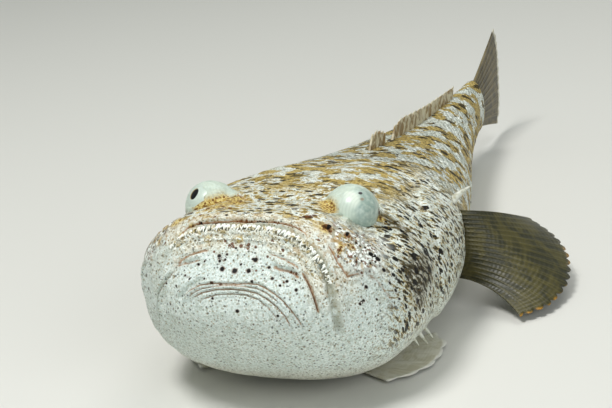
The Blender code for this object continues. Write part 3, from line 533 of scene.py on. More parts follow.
# Spots set one by one: x, s, z, radius. The face's lie as given; the flank's lie on both sides and are
# drawn out along its lines.
spotMarks = {
    "ink": {
        "face": [
            (-5.4, -1.6, 48.8, 0.5), (-3.2, -1.4, 49.3, 0.32), (-3.5, -2.3, 48.1, 0.33),
            (-5.0, -2.5, 47.7, 0.35), (-3.9, -3.8, 46.0, 0.58), (-0.3, -4.0, 45.7, 0.68),
            (3.6, -3.9, 45.9, 0.54), (5.1, -1.8, 48.3, 0.6), (4.3, -1.7, 48.4, 0.34),
            (9.1, -2.8, 46.7, 0.38), (10.5, -4.6, 44.3, 0.38), (14.5, -4.5, 43.7, 0.34),
            (16.6, -3.6, 43.7, 0.22), (5.1, -5.6, 43.6, 0.34), (12.8, -5.3, 42.7, 0.32),
            (-9.5, -2.5, 47.4, 0.26), (-8.8, -5.4, 43.6, 0.29), (1.2, -3.0, 47.2, 0.28),
            (-1.0, -0.1, 50.7, 0.29), (-11.1, -2.7, 46.5, 0.34), (-13.1, -5.0, 43.1, 0.28),
            (-14.7, -4.3, 43.8, 0.3), (-17.4, -4.9, 40.9, 0.28), (-20.7, -3.3, 40.9, 0.28),
            (-19.9, -4.4, 35.3, 0.32), (17.1, -4.9, 41.6, 0.38), (-5.7, -7.8, 39.1, 0.33),
            (1.3, -8.5, 36.0, 0.46), (12.3, -7.4, 35.0, 0.3), (-3.7, 9.9, 57.7, 0.36),
            (-5.7, 6.4, 57.7, 0.38), (-0.4, 7.5, 57.9, 0.28), (12.4, 11.9, 57.0, 0.36),
            (-12.4, 3.8, 56.2, 0.36), (3.8, 4.5, 57.1, 0.3), (4.7, 4.55, 57.1, 0.34),
            (5.6, 4.6, 57.1, 0.34), (6.5, 4.65, 57.0, 0.3), (-18.9, 56.8, 52.3, 0.72),
            (-14.7, 47.8, 53.8, 0.76), (-10.4, 62.9, 52.9, 0.54), (-4.9, 47.8, 54.5, 0.9),
            (-5.8, 38.7, 54.9, 0.63), (-6.7, 43.3, 54.8, 0.58), (-16.7, 62.5, 52.2, 0.6),
            (22.1, 10.2, 54.3, 0.6), (26.3, 11.9, 51.6, 0.5), (26.3, 21.9, 48.7, 0.38),
            (28.0, 21.3, 47.9, 0.5), (29.8, 26.9, 46.2, 0.6), (29.8, 11.9, 48.5, 0.38),
            (30.8, 24.3, 45.6, 0.4), (29.0, 22.0, 46.9, 0.36), (31.2, 14.2, 47.7, 0.3),
            (33.1, 19.4, 45.1, 0.44), (32.7, 24.3, 44.5, 0.4), (28.1, 29.6, 47.4, 0.36),
            (30.6, 30.8, 46.2, 0.46), (30.1, 34.4, 47.6, 0.44), (34.3, 21.6, 43.5, 0.4),
            (35.9, 18.7, 41.7, 0.38), (-3.5, 9.7, 57.8, 0.4), (-5.6, 6.2, 57.7, 0.4),
            (-9.0, 24.9, 55.6, 0.4), (25.4, 22.6, 49.4, 0.34), (27.0, 23.2, 48.2, 0.3),
            (24.2, 21.0, 50.6, 0.26)],
        "flank": [
            (36.2, 22.2, 41.4, 0.82), (38.2, 33.2, 38.9, 0.56), (38.6, 31.7, 38.1, 0.63),
            (39.4, 30.1, 35.4, 0.76), (40.1, 33.9, 34.1, 0.49), (40.1, 40.5, 31.8, 0.85),
            (39.8, 27.5, 32.9, 0.76), (40.6, 34.0, 31.1, 0.56), (39.4, 25.0, 32.0, 0.52),
            (36.8, 27.9, 40.9, 0.41), (37.0, 17.0, 38.7, 0.51), (37.9, 19.0, 36.2, 0.54),
            (36.5, 14.6, 37.2, 0.37), (37.4, 16.5, 34.4, 0.37), (38.0, 17.7, 31.6, 0.31),
            (35.4, 13.8, 41.2, 0.5), (32.4, 12.5, 46.0, 0.57), (33.9, 13.5, 44.4, 0.64),
            (27.9, 21.1, 47.9, 0.48), (29.5, 26.5, 46.4, 0.41), (29.9, 28.1, 46.2, 0.41),
            (32.1, 7.9, 38.4, 0.37), (31.5, 6.8, 34.9, 0.3), (30.8, 5.7, 34.3, 0.3),
            (34.0, 10.3, 34.0, 0.27), (37.8, 22.6, 38.1, 0.62), (31.1, 51.0, 47.3, 0.29),
            (31.5, 52.3, 46.8, 0.29), (34.0, 35.9, 44.7, 0.56), (33.4, 44.4, 45.3, 0.5),
            (32.0, 42.2, 46.8, 0.46), (34.0, 49.5, 44.2, 0.43), (34.6, 49.7, 43.4, 0.39),
            (35.6, 49.2, 42.0, 0.43), (36.1, 49.3, 41.2, 0.36), (36.4, 45.7, 40.7, 0.5),
            (38.7, 43.3, 36.8, 0.53), (38.9, 41.2, 36.6, 0.64), (39.4, 43.1, 34.8, 0.6),
            (39.5, 44.4, 33.6, 0.5), (39.9, 54.2, 32.4, 0.44), (39.5, 52.6, 30.6, 0.51),
            (36.2, 70.7, 39.6, 0.67), (36.7, 70.7, 38.8, 0.56), (37.8, 51.7, 37.7, 0.5),
            (38.3, 54.1, 37.0, 0.4), (38.3, 46.8, 37.2, 0.46), (35.4, 29.4, 42.5, 0.45),
            (34.9, 29.4, 43.0, 0.31), (34.9, 25.0, 42.7, 0.41), (39.7, 27.3, 33.2, 0.35),
            (38.0, 31.9, 39.1, 0.42), (32.6, 29.4, 44.7, 0.45), (38.2, 28.0, 38.5, 0.28),
            (28.7, 56.9, 48.3, 0.44)],
    },
    "rust": {
        "face": [
            (-4.2, 0.6, 52.3, 0.34), (-2.2, 0.4, 51.7, 0.4), (0.4, 0.1, 51.2, 0.5), (2.5, 0.5, 51.6, 0.5),
            (-2.9, 0.1, 51.3, 0.36), (2.4, 0.0, 50.7, 0.4), (4.6, 0.1, 51.1, 0.38),
            (-7.1, -0.9, 49.7, 0.32), (9.3, 0.7, 52.9, 0.37), (8.3, -1.2, 49.1, 0.41),
            (-1.8, -0.1, 51.0, 0.33), (10.6, 2.1, 54.1, 0.3), (-6.6, 2.2, 54.6, 0.37),
            (-4.2, 3.5, 55.2, 0.33), (-2.0, 3.5, 55.3, 0.26), (12.3, 0.3, 50.6, 0.37),
            (5.8, -3.8, 46.0, 0.33), (7.6, -3.5, 46.1, 0.26), (13.7, -4.8, 43.4, 0.3),
            (20.5, 0.3, 48.2, 0.34), (21.1, 3.9, 52.6, 0.42), (-6.5, -6.2, 42.8, 0.5),
            (-3.8, -6.3, 42.6, 0.42), (18.6, 4.5, 54.3, 0.26), (-8.2, 3.6, 55.8, 0.41),
            (15.0, -2.4, 45.7, 0.34), (16.5, -2.4, 45.3, 0.34), (-14.9, 3.7, 55.1, 0.5),
            (-12.8, 3.8, 56.0, 0.42), (-8.7, 5.4, 57.3, 0.43), (-22.9, 2.4, 50.3, 0.5),
            (-17.8, 2.6, 52.5, 0.42), (-13.8, 7.8, 56.8, 0.5), (-14.2, 13.7, 56.7, 0.6),
            (-10.2, 14.9, 57.0, 0.55), (-7.6, 13.6, 56.9, 0.5), (-8.5, 23.8, 55.9, 0.62),
            (-4.3, 26.9, 55.1, 0.5), (-11.7, 23.3, 55.9, 0.5), (21.7, 9.2, 54.0, 1.25),
            (20.9, 8.7, 54.5, 0.6), (23.0, 8.1, 54.0, 0.6), (26.3, 11.2, 51.1, 0.85),
            (28.5, 9.4, 48.8, 0.45), (25.8, 5.7, 49.1, 0.45), (15.9, 11.4, 56.2, 0.9),
            (17.0, 13.2, 56.0, 0.7), (14.4, 9.6, 56.9, 0.5), (-14.2, 8.2, 56.7, 0.44),
            (-14.5, 14.2, 56.6, 0.5), (-10.5, 15.3, 57.0, 0.55), (-7.8, 13.9, 57.0, 0.48),
            (-9.3, 20.7, 56.1, 0.35), (-17.0, 25.7, 54.1, 0.3), (16.4, 19.8, 55.4, 0.6),
            (15.3, 22.9, 54.9, 0.45), (20.7, 19.6, 53.4, 0.5), (19.6, 18.6, 54.0, 0.36),
            (31.3, 7.6, 42.5, 0.35), (26.4, 6.4, 50.0, 0.34), (26.1, 4.3, 47.9, 0.34),
            (25.5, 16.2, 51.6, 0.3), (23.6, 18.6, 51.8, 0.33), (23.0, 13.1, 54.0, 0.3),
            (31.3, 12.0, 47.1, 0.28), (28.1, 5.4, 46.2, 0.3), (29.9, 7.6, 46.0, 0.28),
            (28.8, 28.4, 46.9, 0.4), (28.0, 34.7, 51.6, 0.3), (28.3, 34.6, 50.2, 0.36),
            (28.6, 34.4, 48.9, 0.4), (28.7, 33.0, 47.9, 0.4), (28.6, 31.5, 47.3, 0.4),
            (28.3, 29.9, 47.1, 0.36), (-2.0, 4.3, 57.0, 0.3), (-0.8, 4.4, 57.0, 0.38),
            (0.6, 4.45, 57.1, 0.42), (2.0, 4.5, 57.1, 0.4), (8.6, 4.7, 57.0, 0.34), (9.8, 4.7, 56.9, 0.3)],
        "flank": [],
    },
}
spotStretch = 2.0      # how much longer than wide the flank's spots are


# The way to the nearest spot as a share of its radius, and the gap outside its edge in blur steps.
def nearestSpot(points, normals, marks):
    side = np.where(points[:, :1] < 0, (-1, 1, 1), (1, 1, 1))
    both, bothNormals = points * side, normals * side
    way = np.full((len(points), 3), farAway)
    gap = np.full(len(points), farAway)
    for place, rows in marks.items():
        for mx, ms, mz, radius in rows:
            if place == "flank":
                arm = alongSkin(both - (mx, ms, mz), bothNormals)
                arm = arm - (arm @ flankWay)[:, None] * flankWay * (1 - 1 / spotStretch)
            else:
                arm = alongSkin(points - (mx, ms, mz), normals)
            outside = (np.linalg.norm(arm, axis=1) - radius) / blurStep
            nearer = outside < gap
            way = np.where(nearer[:, None], arm / radius, way)
            gap = np.where(nearer, outside, gap)
    return way, gap


# Where each kind of marking lies: it fades from none to full between two values of each measure. The
# measures are s, z, how far to the fish's right, how far behind the slope of the face, how high on the
# arch of the back, how far from the edge of the gape or the middle of the lips, and how far from an eye.
markReach = {
    "face": {"slope": (9.5, 3.5), "z": (60, 55.6)},
    "lips": {"lip": (7.5, 2.5), "s": (12, 6), "z": (30, 46)},
    "foldedLip": {"right": (17, 20.5), "z": (50.5, 47.5)},
    "underChin": {"s": (22, 10), "z": (46, 34)},
    "belly": {"z": (16, 7)},
    "back": {"arch": (33, 41)},
    "net": {"s": (28, 50)},
    "tail": {"s": (84, 112), "z": (10, 18)},
    "crown": {"s": (5, 10)}, "crownEnd": {"s": (66, 36)},
    "flank": {"s": (9, 20), "z": (12, 22)}, "flankTop": {"z": (47, 54)}, "flankEnd": {"s": (112, 84)},
    "behindLips": {"s": (5, 16)},
    "turret": {"eye": (9.9, 8.4), "finishedZ": (49, 52.5)},
    "gape": {"gape": (1.7, 0.5), "s": (14, 9), "z": (24, 30)},
}
markShape = {
    "faceTilt": 0.55, "faceHeight": 50, "archDrop": 0.35, "archRise": 5, "archRun": (66, 40),
    "lipMiddle": 0.4, "gapeMiddle": 0.2, "eyeSpread": (1.04, 1, 1),
    "foldedShare": 0.2, "flankTopShare": 0.15, "pepperFront": 0.35,
}


# Markings for any points of the plain body, their normals and finished places.
def markings(points, normals, dressed):
    x, s, z = points.T
    shape = markShape
    fromGape = gapeDistance(points)
    eyePlaces = [eyeCentre(side) * shape["eyeSpread"] for side in (1, -1)]
    measures = {
        "s": s, "z": z, "right": -x, "slope": s + shape["faceTilt"] * (z - shape["faceHeight"]),
        "arch": z - shape["archDrop"] * np.abs(x) - shape["archRise"] * ease(s, *shape["archRun"]),
        "lip": np.abs(fromGape - shape["lipMiddle"]), "gape": np.abs(fromGape - shape["gapeMiddle"]),
        "eye": np.min([np.linalg.norm(dressed - place, axis=1) for place in eyePlaces], axis=0),
        "finishedZ": dressed[:, 2],
    }
    share = {name: math.prod(ease(measures[measure], *fade) for measure, fade in fades.items())
             for name, fades in markReach.items()}
    back = share["back"] * (1 - share["face"])
    masks = {name: share[name] for name in ("belly", "turret")}
    masks["lips"] = share["lips"] * mix(1.0, shape["foldedShare"], share["foldedLip"])
    masks["chin"] = np.clip(share["face"] + share["underChin"], 0, 1)
    masks["net"] = np.maximum(back * share["net"], share["tail"])
    masks["crown"] = back * share["crown"] * share["crownEnd"]
    low = mix(1.0, shape["flankTopShare"], share["flankTop"])
    masks["flank"] = share["flank"] * low * share["flankEnd"]
    masks["peppered"] = (1 - share["belly"]) * mix(shape["pepperFront"], 1.0, share["behindLips"])
    masks["gape"] = share["gape"] * gapeShare(points)
    for name in stains:
        masks[name] = stainField(dressed, name)
    # creases: brown stain and painted shade laid along their floor
    crease = np.zeros(len(points))
    for item, line in creaseLines():
        distance, along = lineDistance(points, line, normals)
        stainAndShade = np.clip(creaseShape["stainAndShadeWidth"] - distance / item["width"], 0, 1)
        crease = np.maximum(crease, item["stainAndShade"] * endTaper(along, creaseShape["stainAndShadeEnds"]) * stainAndShade)
    masks["crease"] = crease
    for name, marks in spotMarks.items():
        masks[name + "Way"], masks[name + "Gap"] = nearestSpot(dressed, normals, marks)
    return masks


def writeMarkings(mesh, points, normals, dressed):
    for name, values in markings(points, normals, dressed).items():
        writeMask(mesh, name, values)


def hexColour(text):
    channels = [int(text[i:i + 2], 16) / 255 for i in (1, 3, 5)]
    return (*(c / 12.92 if c <= 0.04045 else ((c + 0.055) / 1.055) ** 2.4 for c in channels), 1.0)


def addNode(tree, kind, inputs=(), stops=(), **settings):
    made = tree.nodes.new(kind)
    for name, value in settings.items():
        setattr(made, name, value)
    for name, value in dict(inputs).items():
        if isinstance(value, bpy.types.NodeSocket):
            tree.links.new(value, made.inputs[name])
        else:
            made.inputs[name].default_value = value
    for number, (place, value) in enumerate(stops):
        ramp = made.color_ramp.elements
        element = ramp[number] if number < 2 else ramp.new(place)
        element.position = place
        element.color = hexColour(value) if isinstance(value, str) else (value, value, value, 1)
    return made


# Scale of a texture whose pattern repeats about every so many millimetres.
def perMetre(size):
    return 1 / (size * mm)


# Lays a tone over a colour, by an amount from 0 to 1.
def mixColours(tree, amount, colour, tone):
    mixed = addNode(tree, "ShaderNodeMix", {0: amount, 6: colour, 7: hexColour(tone)}, data_type="RGBA")
    return mixed.outputs[2]


def startMaterial(name):
    material = bpy.data.materials.new(name)
    material.use_nodes = True
    return material, material.node_tree, material.node_tree.nodes["Principled BSDF"]


skinLook = {
    "ground": "#E2E8DF", "shade": "#A9B2A0", "cool": "#CBD9D5", "lip": "#DAD3BD", "belly": "#DAD7C8",
    "turret": "#C4D2C4", "net": "#BEA65C", "netDark": "#75602B", "fleck": "#1A1408", "ink": "#0A0805",
    "line": "#352E17", "amber": "#A98636", "straw": "#DFD089", "gold": "#BEA55A", "rust": "#653710",
    # the crease tones are brown stain and painted shade in the folds
    "olive": "#2E2A16", "crease": "#A3764E", "creaseDarkStainAndShade": "#48341F", "smudge": "#A98C60",
    # grain is the tone of dark grains, and also of painted shade in the gaps between knobs
    "grey": "#8E907C", "white": "#ECF1EA", "grain": "#716E58",
}

# Coats of colour over the ground, in order: name, pattern, where it starts and is full, where on the
# fish it lies (a marking, or an earlier coat), strength, colour. A coat that lies on itself is squared,
# which thins its edge.
skinCoats = [
    ("greyMottle", "cloud7", 0.42, 0.62, None, 0.5, "shade"),
    ("coolChin", "cloud7", 0.1, 0.3, "chin", 0.7, "cool"),
    ("lipTone", "cloud4", 0.3, 0.6, "lips", 0.8, "lip"),
    ("paleBelly", "cloud7", 0.0, 0.2, "belly", 0.9, "belly"),
    ("graining", "cloud1", 0.5, 0.62, None, 0.5, "shade"),
    ("lipGrains", "cloud1", 0.54, 0.61, "lips", 0.6, "smudge"),
    ("paleGrains", "fine", 0.54, 0.6, None, 0.7, "white"),
    ("darkGrains", "fine", 0.44, 0.38, "peppered", 0.6, "grain"),
    ("patches", "marble", 0.465, 0.505, "net", 0.95, "net"),
    ("patchGrains", "cloud1", 0.51, 0.56, "patches", 0.7, "netDark"),
    ("patchFlecks", "fleck", 0.4, 0.35, "patches", 0.98, "fleck"),
    ("streaks", "streak", 0.5, 0.53, "crown", 0.85, "gold"),
    ("darkStreaks", "streak", 0.57, 0.59, "crown", 0.85, "netDark"),
    ("crownDots", "crownDot", 0.33, 0.29, "crown", 0.98, "fleck"),
    ("flankGold", "hatch", 0.52, 0.56, "flank", 0.75, "gold"),
    ("olivePatch", "cloud2", 0.2, 0.4, "olive", 0.5, "netDark"),
    ("oliveLines", "hatch", 0.43, 0.49, "olive", 0.92, "olive"),
    ("flankLines", "hatch", 0.58, 0.61, "flank", 0.95, "line"),
    ("dashes", "dash", 0.33, 0.29, "flank", 0.98, "fleck"),
    ("spots", "spot", 0.24, 0.21, "flank", 0.98, "ink"),
    ("pepper", "pepper", 0.24, 0.17, "pepper", 0.85, "fleck"),
    ("specks", "specks", 0.25, 0.17, "pepper", 0.75, "netDark"),
    ("lipSpecks", "specks", 0.27, 0.19, "lips", 0.7, "netDark"),
    ("stipple", "specks", 0.36, 0.24, "stipple", 0.7, "netDark"),
    ("stippleShade", "cloud1", 0.55, 0.61, "stipple", 0.55, "smudge"),
    ("stippleDots", "pepper", 0.24, 0.18, "stipple", 0.9, "fleck"),
    ("roughWhite", "cloud4", 0.2, 0.35, "rough", 0.95, "white"),
    # painted shade: a grey-brown network in the gaps between the white knobs
    ("roughGapShade", "knob", 0.4, 0.6, "rough", 0.7, "grain"),
    ("roughBrown", "cloud1", 0.56, 0.6, "rough", 0.85, "rust"),
    ("roughGold", "cloud2", 0.55, 0.6, "rough", 0.6, "amber"),
    ("roughDots", "pepper", 0.3, 0.22, "rough", 0.95, "fleck"),
    ("gapeShade", "cloud2", 0.3, 0.5, "gape", 0.6, "grey"),
    ("smudges", "cloud2", 0.55, 0.64, "lips", 0.5, "smudge"),
    ("eyeWhite", "cloud7", 0.0, 0.2, "turret", 0.9, "turret"),
    ("eyeShade", "cloud2", 0.5, 0.64, "turret", 0.35, "shade"),
    # creases: brown stain and painted shade along their floor, darkest at the middle
    ("creaseStainAndShade", "crease", 0.14, 0.45, None, 0.75, "crease"),
    ("creaseCoreStainAndShade", "crease", 0.45, 0.7, None, 0.85, "creaseDarkStainAndShade"),
    ("goldPatch", "cloud1", 0.22, 0.4, "amber", 0.95, "amber"),
    ("goldGrains", "fine", 0.47, 0.52, "goldPatch", 0.85, "straw"),
    ("rustGrains", "specks", 0.46, 0.36, "goldPatch", 0.9, "rust"),
    ("rustSpots", "rust", 1.3, 0.75, None, 0.9, "rust"),
    ("rustShade", "cloud1", 0.48, 0.58, "rustSpots", 0.75, "fleck"),
    ("inkHalo", "ink", 1.7, 1.0, "chin", 0.7, "rust"),
    ("inkSpots", "ink", 1.15, 0.85, None, 0.98, "ink"),
]
skinFinish = {
    "drift": 9.0, "driftReach": 4.0,               # mm between the bends of the marbling, and their reach
    "granule": 0.75, "granuleDepth": 0.12,         # a little coarser than real so that they show
    "wrinkleDepth": 0.2,
    "roughness": (0.42, 0.6), "ior": 1.38, "specular": 0.22,
}
# Patterns that the coats read: kind, size in mm, and how it lies: evenly, drifting with the marbling, or
# drawn out so many times along the marks.
skinPatterns = {
    "cloud7": ("Noise", 7.0, "even"), "cloud4": ("Noise", 4.0, "even"), "cloud2": ("Noise", 2.4, "even"),
    "cloud1": ("Noise", 0.9, "even"), "fine": ("Noise", 0.5, "even"), "marble": ("Noise", 6.5, "drifting"),
    "streak": ("Noise", 1.2, 2.0), "hatch": ("Noise", 0.7, 5.0),
    "fleck": ("Voronoi", 2.6, 2.0), "crownDot": ("Voronoi", 2.2, 2.0), "dash": ("Voronoi", 1.4, 3.0),
    "spot": ("Voronoi", 3.4, 2.0), "pepper": ("Voronoi", 1.5, "even"), "specks": ("Voronoi", 0.95, "even"),
    "knob": ("Voronoi", 1.3, "even"),
}
# How far the grain of the skin frays the edges of each pattern.
ragged = {"marble": 0.18, "streak": 0.4, "hatch": 0.15, "fleck": 0.25, "crownDot": 0.2, "dash": 0.12,
          "spot": 0.15, "crease": 0.3, "ink": 0.9, "rust": 2.0}


# Skin of a living fish under a film of slime: a soft, slightly damp sheen over greyish white, with
# golden-brown marbling on the back, ink spots on the flanks, and creases on the face darkened by brown
# stain and painted shade.
def skinMaterial():
    material, tree, shader = startMaterial("slimedFishSkin")
    place = addNode(tree, "ShaderNodeTexCoord").outputs["Object"]
    amounts = {name: addNode(tree, "ShaderNodeAttribute", attribute_name=name).outputs["Fac"]
               for name in ("lips", "chin", "belly", "net", "crown", "flank", "amber", "olive", "crease",
                            "gape", "rough", "turret", "peppered")}
    drift = addNode(tree, "ShaderNodeTexNoise", {"Vector": place, "Scale": perMetre(skinFinish["drift"]),
                                                 "Detail": 4.0})
    flows = {"even": place}
    flows["drifting"] = addNode(tree, "ShaderNodeVectorMath", {0: drift.outputs["Color"], 2: place,
                                                               1: (skinFinish["driftReach"] * mm,) * 3},
                                operation="MULTIPLY_ADD").outputs[0]
    # marks run in planes that slope back: from side to side on the crown, back and down on the flank
    for stretch in (2.0, 3.0, 5.0):
        flows[stretch] = addNode(tree, "ShaderNodeMapping", {
            "Vector": flows["drifting"], "Scale": (stretch, stretch, 1.0),
            "Rotation": (math.radians(-flankSlant), 0, 0)}, vector_type="TEXTURE").outputs[0]

    patterns = {"crease": amounts["crease"]}
    for name, (kind, size, flow) in skinPatterns.items():
        made = addNode(tree, f"ShaderNodeTex{kind}", {"Vector": flows[flow], "Scale": perMetre(size)})
        if kind == "Noise":
            made.inputs["Detail"].default_value = 3.0
        patterns[name] = made.outputs[0]
    for name in spotMarks:
        way = addNode(tree, "ShaderNodeAttribute", attribute_name=name + "Way").outputs["Vector"]
        gap = addNode(tree, "ShaderNodeAttribute", attribute_name=name + "Gap").outputs["Fac"]
        share = addNode(tree, "ShaderNodeVectorMath", {0: way}, operation="LENGTH").outputs["Value"]
        patterns[name] = addNode(tree, "ShaderNodeMath", {0: share, 1: gap}, operation="MAXIMUM").outputs[0]
    for name, reach in ragged.items():
        frayed = addNode(tree, "ShaderNodeMath", {0: patterns["cloud1"], 1: reach, 2: patterns[name]},
                         operation="MULTIPLY_ADD")
        patterns[name] = frayed.outputs[0]

    colour = hexColour(skinLook["ground"])
    for name, pattern, start, full, where, strength, tone in skinCoats:
        lift = ragged.get(pattern, 0) / 2
        amounts[name] = addNode(tree, "ShaderNodeMapRange", {
            "Value": patterns[pattern], "From Min": start + lift, "From Max": full + lift,
            "To Max": strength}, interpolation_type="SMOOTHSTEP").outputs[0]
        if where:
            amounts[name] = addNode(tree, "ShaderNodeMath", {0: amounts[name], 1: amounts[where]},
                                    operation="MULTIPLY").outputs[0]
        colour = mixColours(tree, amounts[name], colour, skinLook[tone])
    tree.links.new(colour, shader.inputs["Base Color"])

    finish = skinFinish
    grain = addNode(tree, "ShaderNodeTexVoronoi", {"Vector": place, "Scale": perMetre(finish["granule"])})
    bumps = addNode(tree, "ShaderNodeBump", {"Strength": 0.5, "Distance": finish["granuleDepth"] * mm,
                                             "Height": grain.outputs[0]})
    wrinkles = addNode(tree, "ShaderNodeBump", {"Strength": 0.6, "Distance": finish["wrinkleDepth"] * mm,
                                                "Height": patterns["cloud1"], "Normal": bumps.outputs[0]})
    tree.links.new(wrinkles.outputs[0], shader.inputs["Normal"])
    damp, dry = finish["roughness"]
    rough = addNode(tree, "ShaderNodeMapRange", {"Value": patterns["cloud1"], "To Min": damp, "To Max": dry,
                                                 "From Min": 0.3, "From Max": 0.7})
    tree.links.new(rough.outputs[0], shader.inputs["Roughness"])
    shader.inputs["IOR"].default_value = finish["ior"]
    shader.inputs["Specular IOR Level"].default_value = finish["specular"]
    return material


# The skin's mesh is twice as fine within these distances, in mm, and where the gape is in front.
finer = {"eye": 12.0, "nostril": 2.6, "gape": 3.6, "gapeBack": 10, "gapeFoot": 30}


def plainBody():
    bm = bmesh.new()
    bmesh.ops.create_uvsphere(bm, u_segments=bodyShape["pointsRound"], v_segments=bodyShape["rings"],
                              radius=1.0)
    ball = np.array([vert.co for vert in bm.verts])
    turn = np.arctan2(ball[:, 1], ball[:, 0])
    share = np.arccos(np.clip(ball[:, 2], -1, 1)) / math.pi
    angle = turn + bodyShape["crownShare"] * np.cos(turn)
    points = toMetres(bodyAt(ringTrack(share), angle))
    for vert, point in zip(bm.verts, points):
        vert.co = point
    # finer where the lids, nostrils and lips are
    bm.verts.ensure_lookup_table()
    fish = toFish(points)
    wanted = np.zeros(len(fish), bool)
    for side in (1, -1):
        wanted |= np.linalg.norm(fish - eyeCentre(side), axis=1) < finer["eye"]
        for centre, _, _, _ in nostrils:
            wanted |= np.linalg.norm(fish - np.array(centre) * (side, 1, 1), axis=1) < finer["nostril"]
    nearGape = np.abs(gapeDistance(fish)) < finer["gape"]
    wanted |= nearGape & (fish[:, 1] < finer["gapeBack"]) & (fish[:, 2] > finer["gapeFoot"])
    edges = [edge for edge in bm.edges if wanted[edge.verts[0].index] and wanted[edge.verts[1].index]]
    bmesh.ops.subdivide_edges(bm, edges=edges, cuts=1, use_grid_fill=True)
    bmesh.ops.recalc_face_normals(bm, faces=bm.faces)
    return bm


def makeSkin(material):
    skin = makeObject(plainBody(), "skin")
    points, normals = readPoints(skin.data), readNormals(skin.data)
    dressed = dressPoints(points, normals)
    writeMarkings(skin.data, points, normals, dressed)
    writePoints(skin.data, dressed)
    finishPiece(skin, material, "mottled_skin", "head", "lower_jaw", "gill_cover_left", "gill_cover_right",
                "trunk_front", "trunk_rear", "tail_stalk")
    return skin


skinStuff = skinMaterial()
skin = makeSkin(skinStuff)
print("skin made,", sum(len(p.vertices) - 2 for p in skin.data.polygons), "triangles")
skinTree = BVHTree.FromPolygons([vert.co for vert in skin.data.vertices],
                                [face.vertices[:] for face in skin.data.polygons])


def onSkin(origin, direction):
    hit, normal, _, _ = skinTree.ray_cast(Vector(toMetres(origin)), Vector(direction))
    return hit, normal


# Eyes: a ball whose poles lie on the line of sight, with a map of the gaze as its UV. Tints and marks on a
# ball are placed by direction: degrees outward and upward, then reach across and upward in mm, the shares
# of that reach where it starts and is full, and its colour.
eyeLook = {
    1: {"name": "eye_left", "slot": "clouded_eye", "material": "cloudedEyeball", "ringing": 0.13,
        "rings": [(0.0, "#9DB1A6"), (0.5, "#A0B4A7"), (0.78, "#A9BBAC"), (0.88, "#B4C3B3"),
                  (1.0, "#C0CEBF")],
        "tints": [((44.6, 2.0), (2.9, 3.2), 1.3, 0.8, "#8DA297"),
                  ((44.6, 2.0), (2.1, 2.4), 1.5, 0.5, "#9DB1A7"),
                  ((66.0, 26.0), (3.0, 6.0), 1.4, 0.5, "#8FA398"),
                  ((-2.0, 44.0), (4.4, 3.4), 1.2, 0.7, "#DDE6D6"),
                  ((-14.0, 20.0), (4.6, 6.6), 1.3, 0.5, "#C3D1C4")],
        "marks": [((50.0, 41.0), (0.5, 0.35), 2.0, 0.5, "#8F8674"),
                  ((57.0, 57.0), (0.7, 0.5), 1.2, 0.85, "#12120F")]},
    -1: {"name": "eye_right", "slot": "clear_eye", "material": "clearEyeball", "ringing": 0.06,
         "rings": [(0.0, "#C3D0C5"), (0.6, "#C0CDC1"), (1.0, "#C4D1C4")], "tints": [],
         "marks": [((35.5, 43.2), (1.15, 1.75), 1.2, 0.9, "#9A8448"),
                   ((31.4, 42.9), (1.2, 1.75), 1.05, 0.95, "#060A0C")]},
}
cornea = {
    "rimAngle": 12,                        # degrees past the lids' opening where the last ring lies
    "cloud": "#CDD8CA", "clouding": 0.5, "cloudsPerMm": 0.7, "cloudRange": (0.42, 0.66),
    "ring": "#7C8B7F", "ringSpacing": 0.924, "ringRange": (0.35, 1.0), "ringWaver": 4.0,
    "roughness": 0.3, "ior": 1.376, "wet": 0.3, "wetRoughness": 0.34,
}


def eyeFrame(side):
    look = Vector(gaze(side))
    right = look.cross(Vector((0, 0, 1))).normalized() * -1
    return look, right, look.cross(right)


# Place on the gaze map of a direction given in degrees outward and upward.
def onGazeMap(side, outward, upward):
    look, right, up = eyeFrame(side)
    outward, upward = math.radians(outward), math.radians(upward)
    toward = Vector((side * math.sin(outward) * math.cos(upward), -math.cos(outward) * math.cos(upward),
                     math.sin(upward)))
    arc = look.angle(toward) * eyes["radius"]
    flat = Vector((toward.dot(right), toward.dot(up))).normalized()
    return flat * arc


def makeEye(side, material):
    details = eyeLook[side]
    look, right, up = eyeFrame(side)
    turn = Matrix((right, up, look)).transposed().to_4x4()
    bm = bmesh.new()
    bmesh.ops.create_uvsphere(bm, u_segments=eyes["pointsRound"], v_segments=eyes["rings"],
                              radius=eyes["radius"] * mm)
    layer = bm.loops.layers.uv.new("gazeMap")
    for face in bm.faces:
        for loop in face.loops:
            point = loop.vert.co / (eyes["radius"] * mm)
            angle = math.acos(max(-1.0, min(1.0, point.z))) * eyes["radius"]
            flat = math.hypot(point.x, point.y) + 1e-9
            loop[layer].uv = (point.x / flat * angle, point.y / flat * angle)
    place = Matrix.Translation(Vector(toMetres(eyeCentre(side))))
    bmesh.ops.transform(bm, matrix=place @ turn, verts=bm.verts)
    bmesh.ops.recalc_face_normals(bm, faces=bm.faces)
    eye = makeObject(bm, details["name"] + "_ball")
    return finishPiece(eye, material, details["slot"], details["name"])


# Lays soft-edged ellipses over a colour.
def addMarks(tree, gazeMap, side, marks, colour):
    for direction, reach, start, full, tone in marks:
        spot = onGazeMap(side, *direction)
        centred = addNode(tree, "ShaderNodeMapping", {"Vector": gazeMap, "Location": (*spot, 0),
                                                      "Scale": (*reach, 1)}, vector_type="TEXTURE")
        away = addNode(tree, "ShaderNodeVectorMath", {0: centred.outputs[0]},
                       operation="LENGTH").outputs["Value"]
        amount = addNode(tree, "ShaderNodeMapRange", {"Value": away, "From Min": start, "From Max": full},
                         interpolation_type="SMOOTHSTEP").outputs[0]
        colour = mixColours(tree, amount, colour, tone)
    return colour


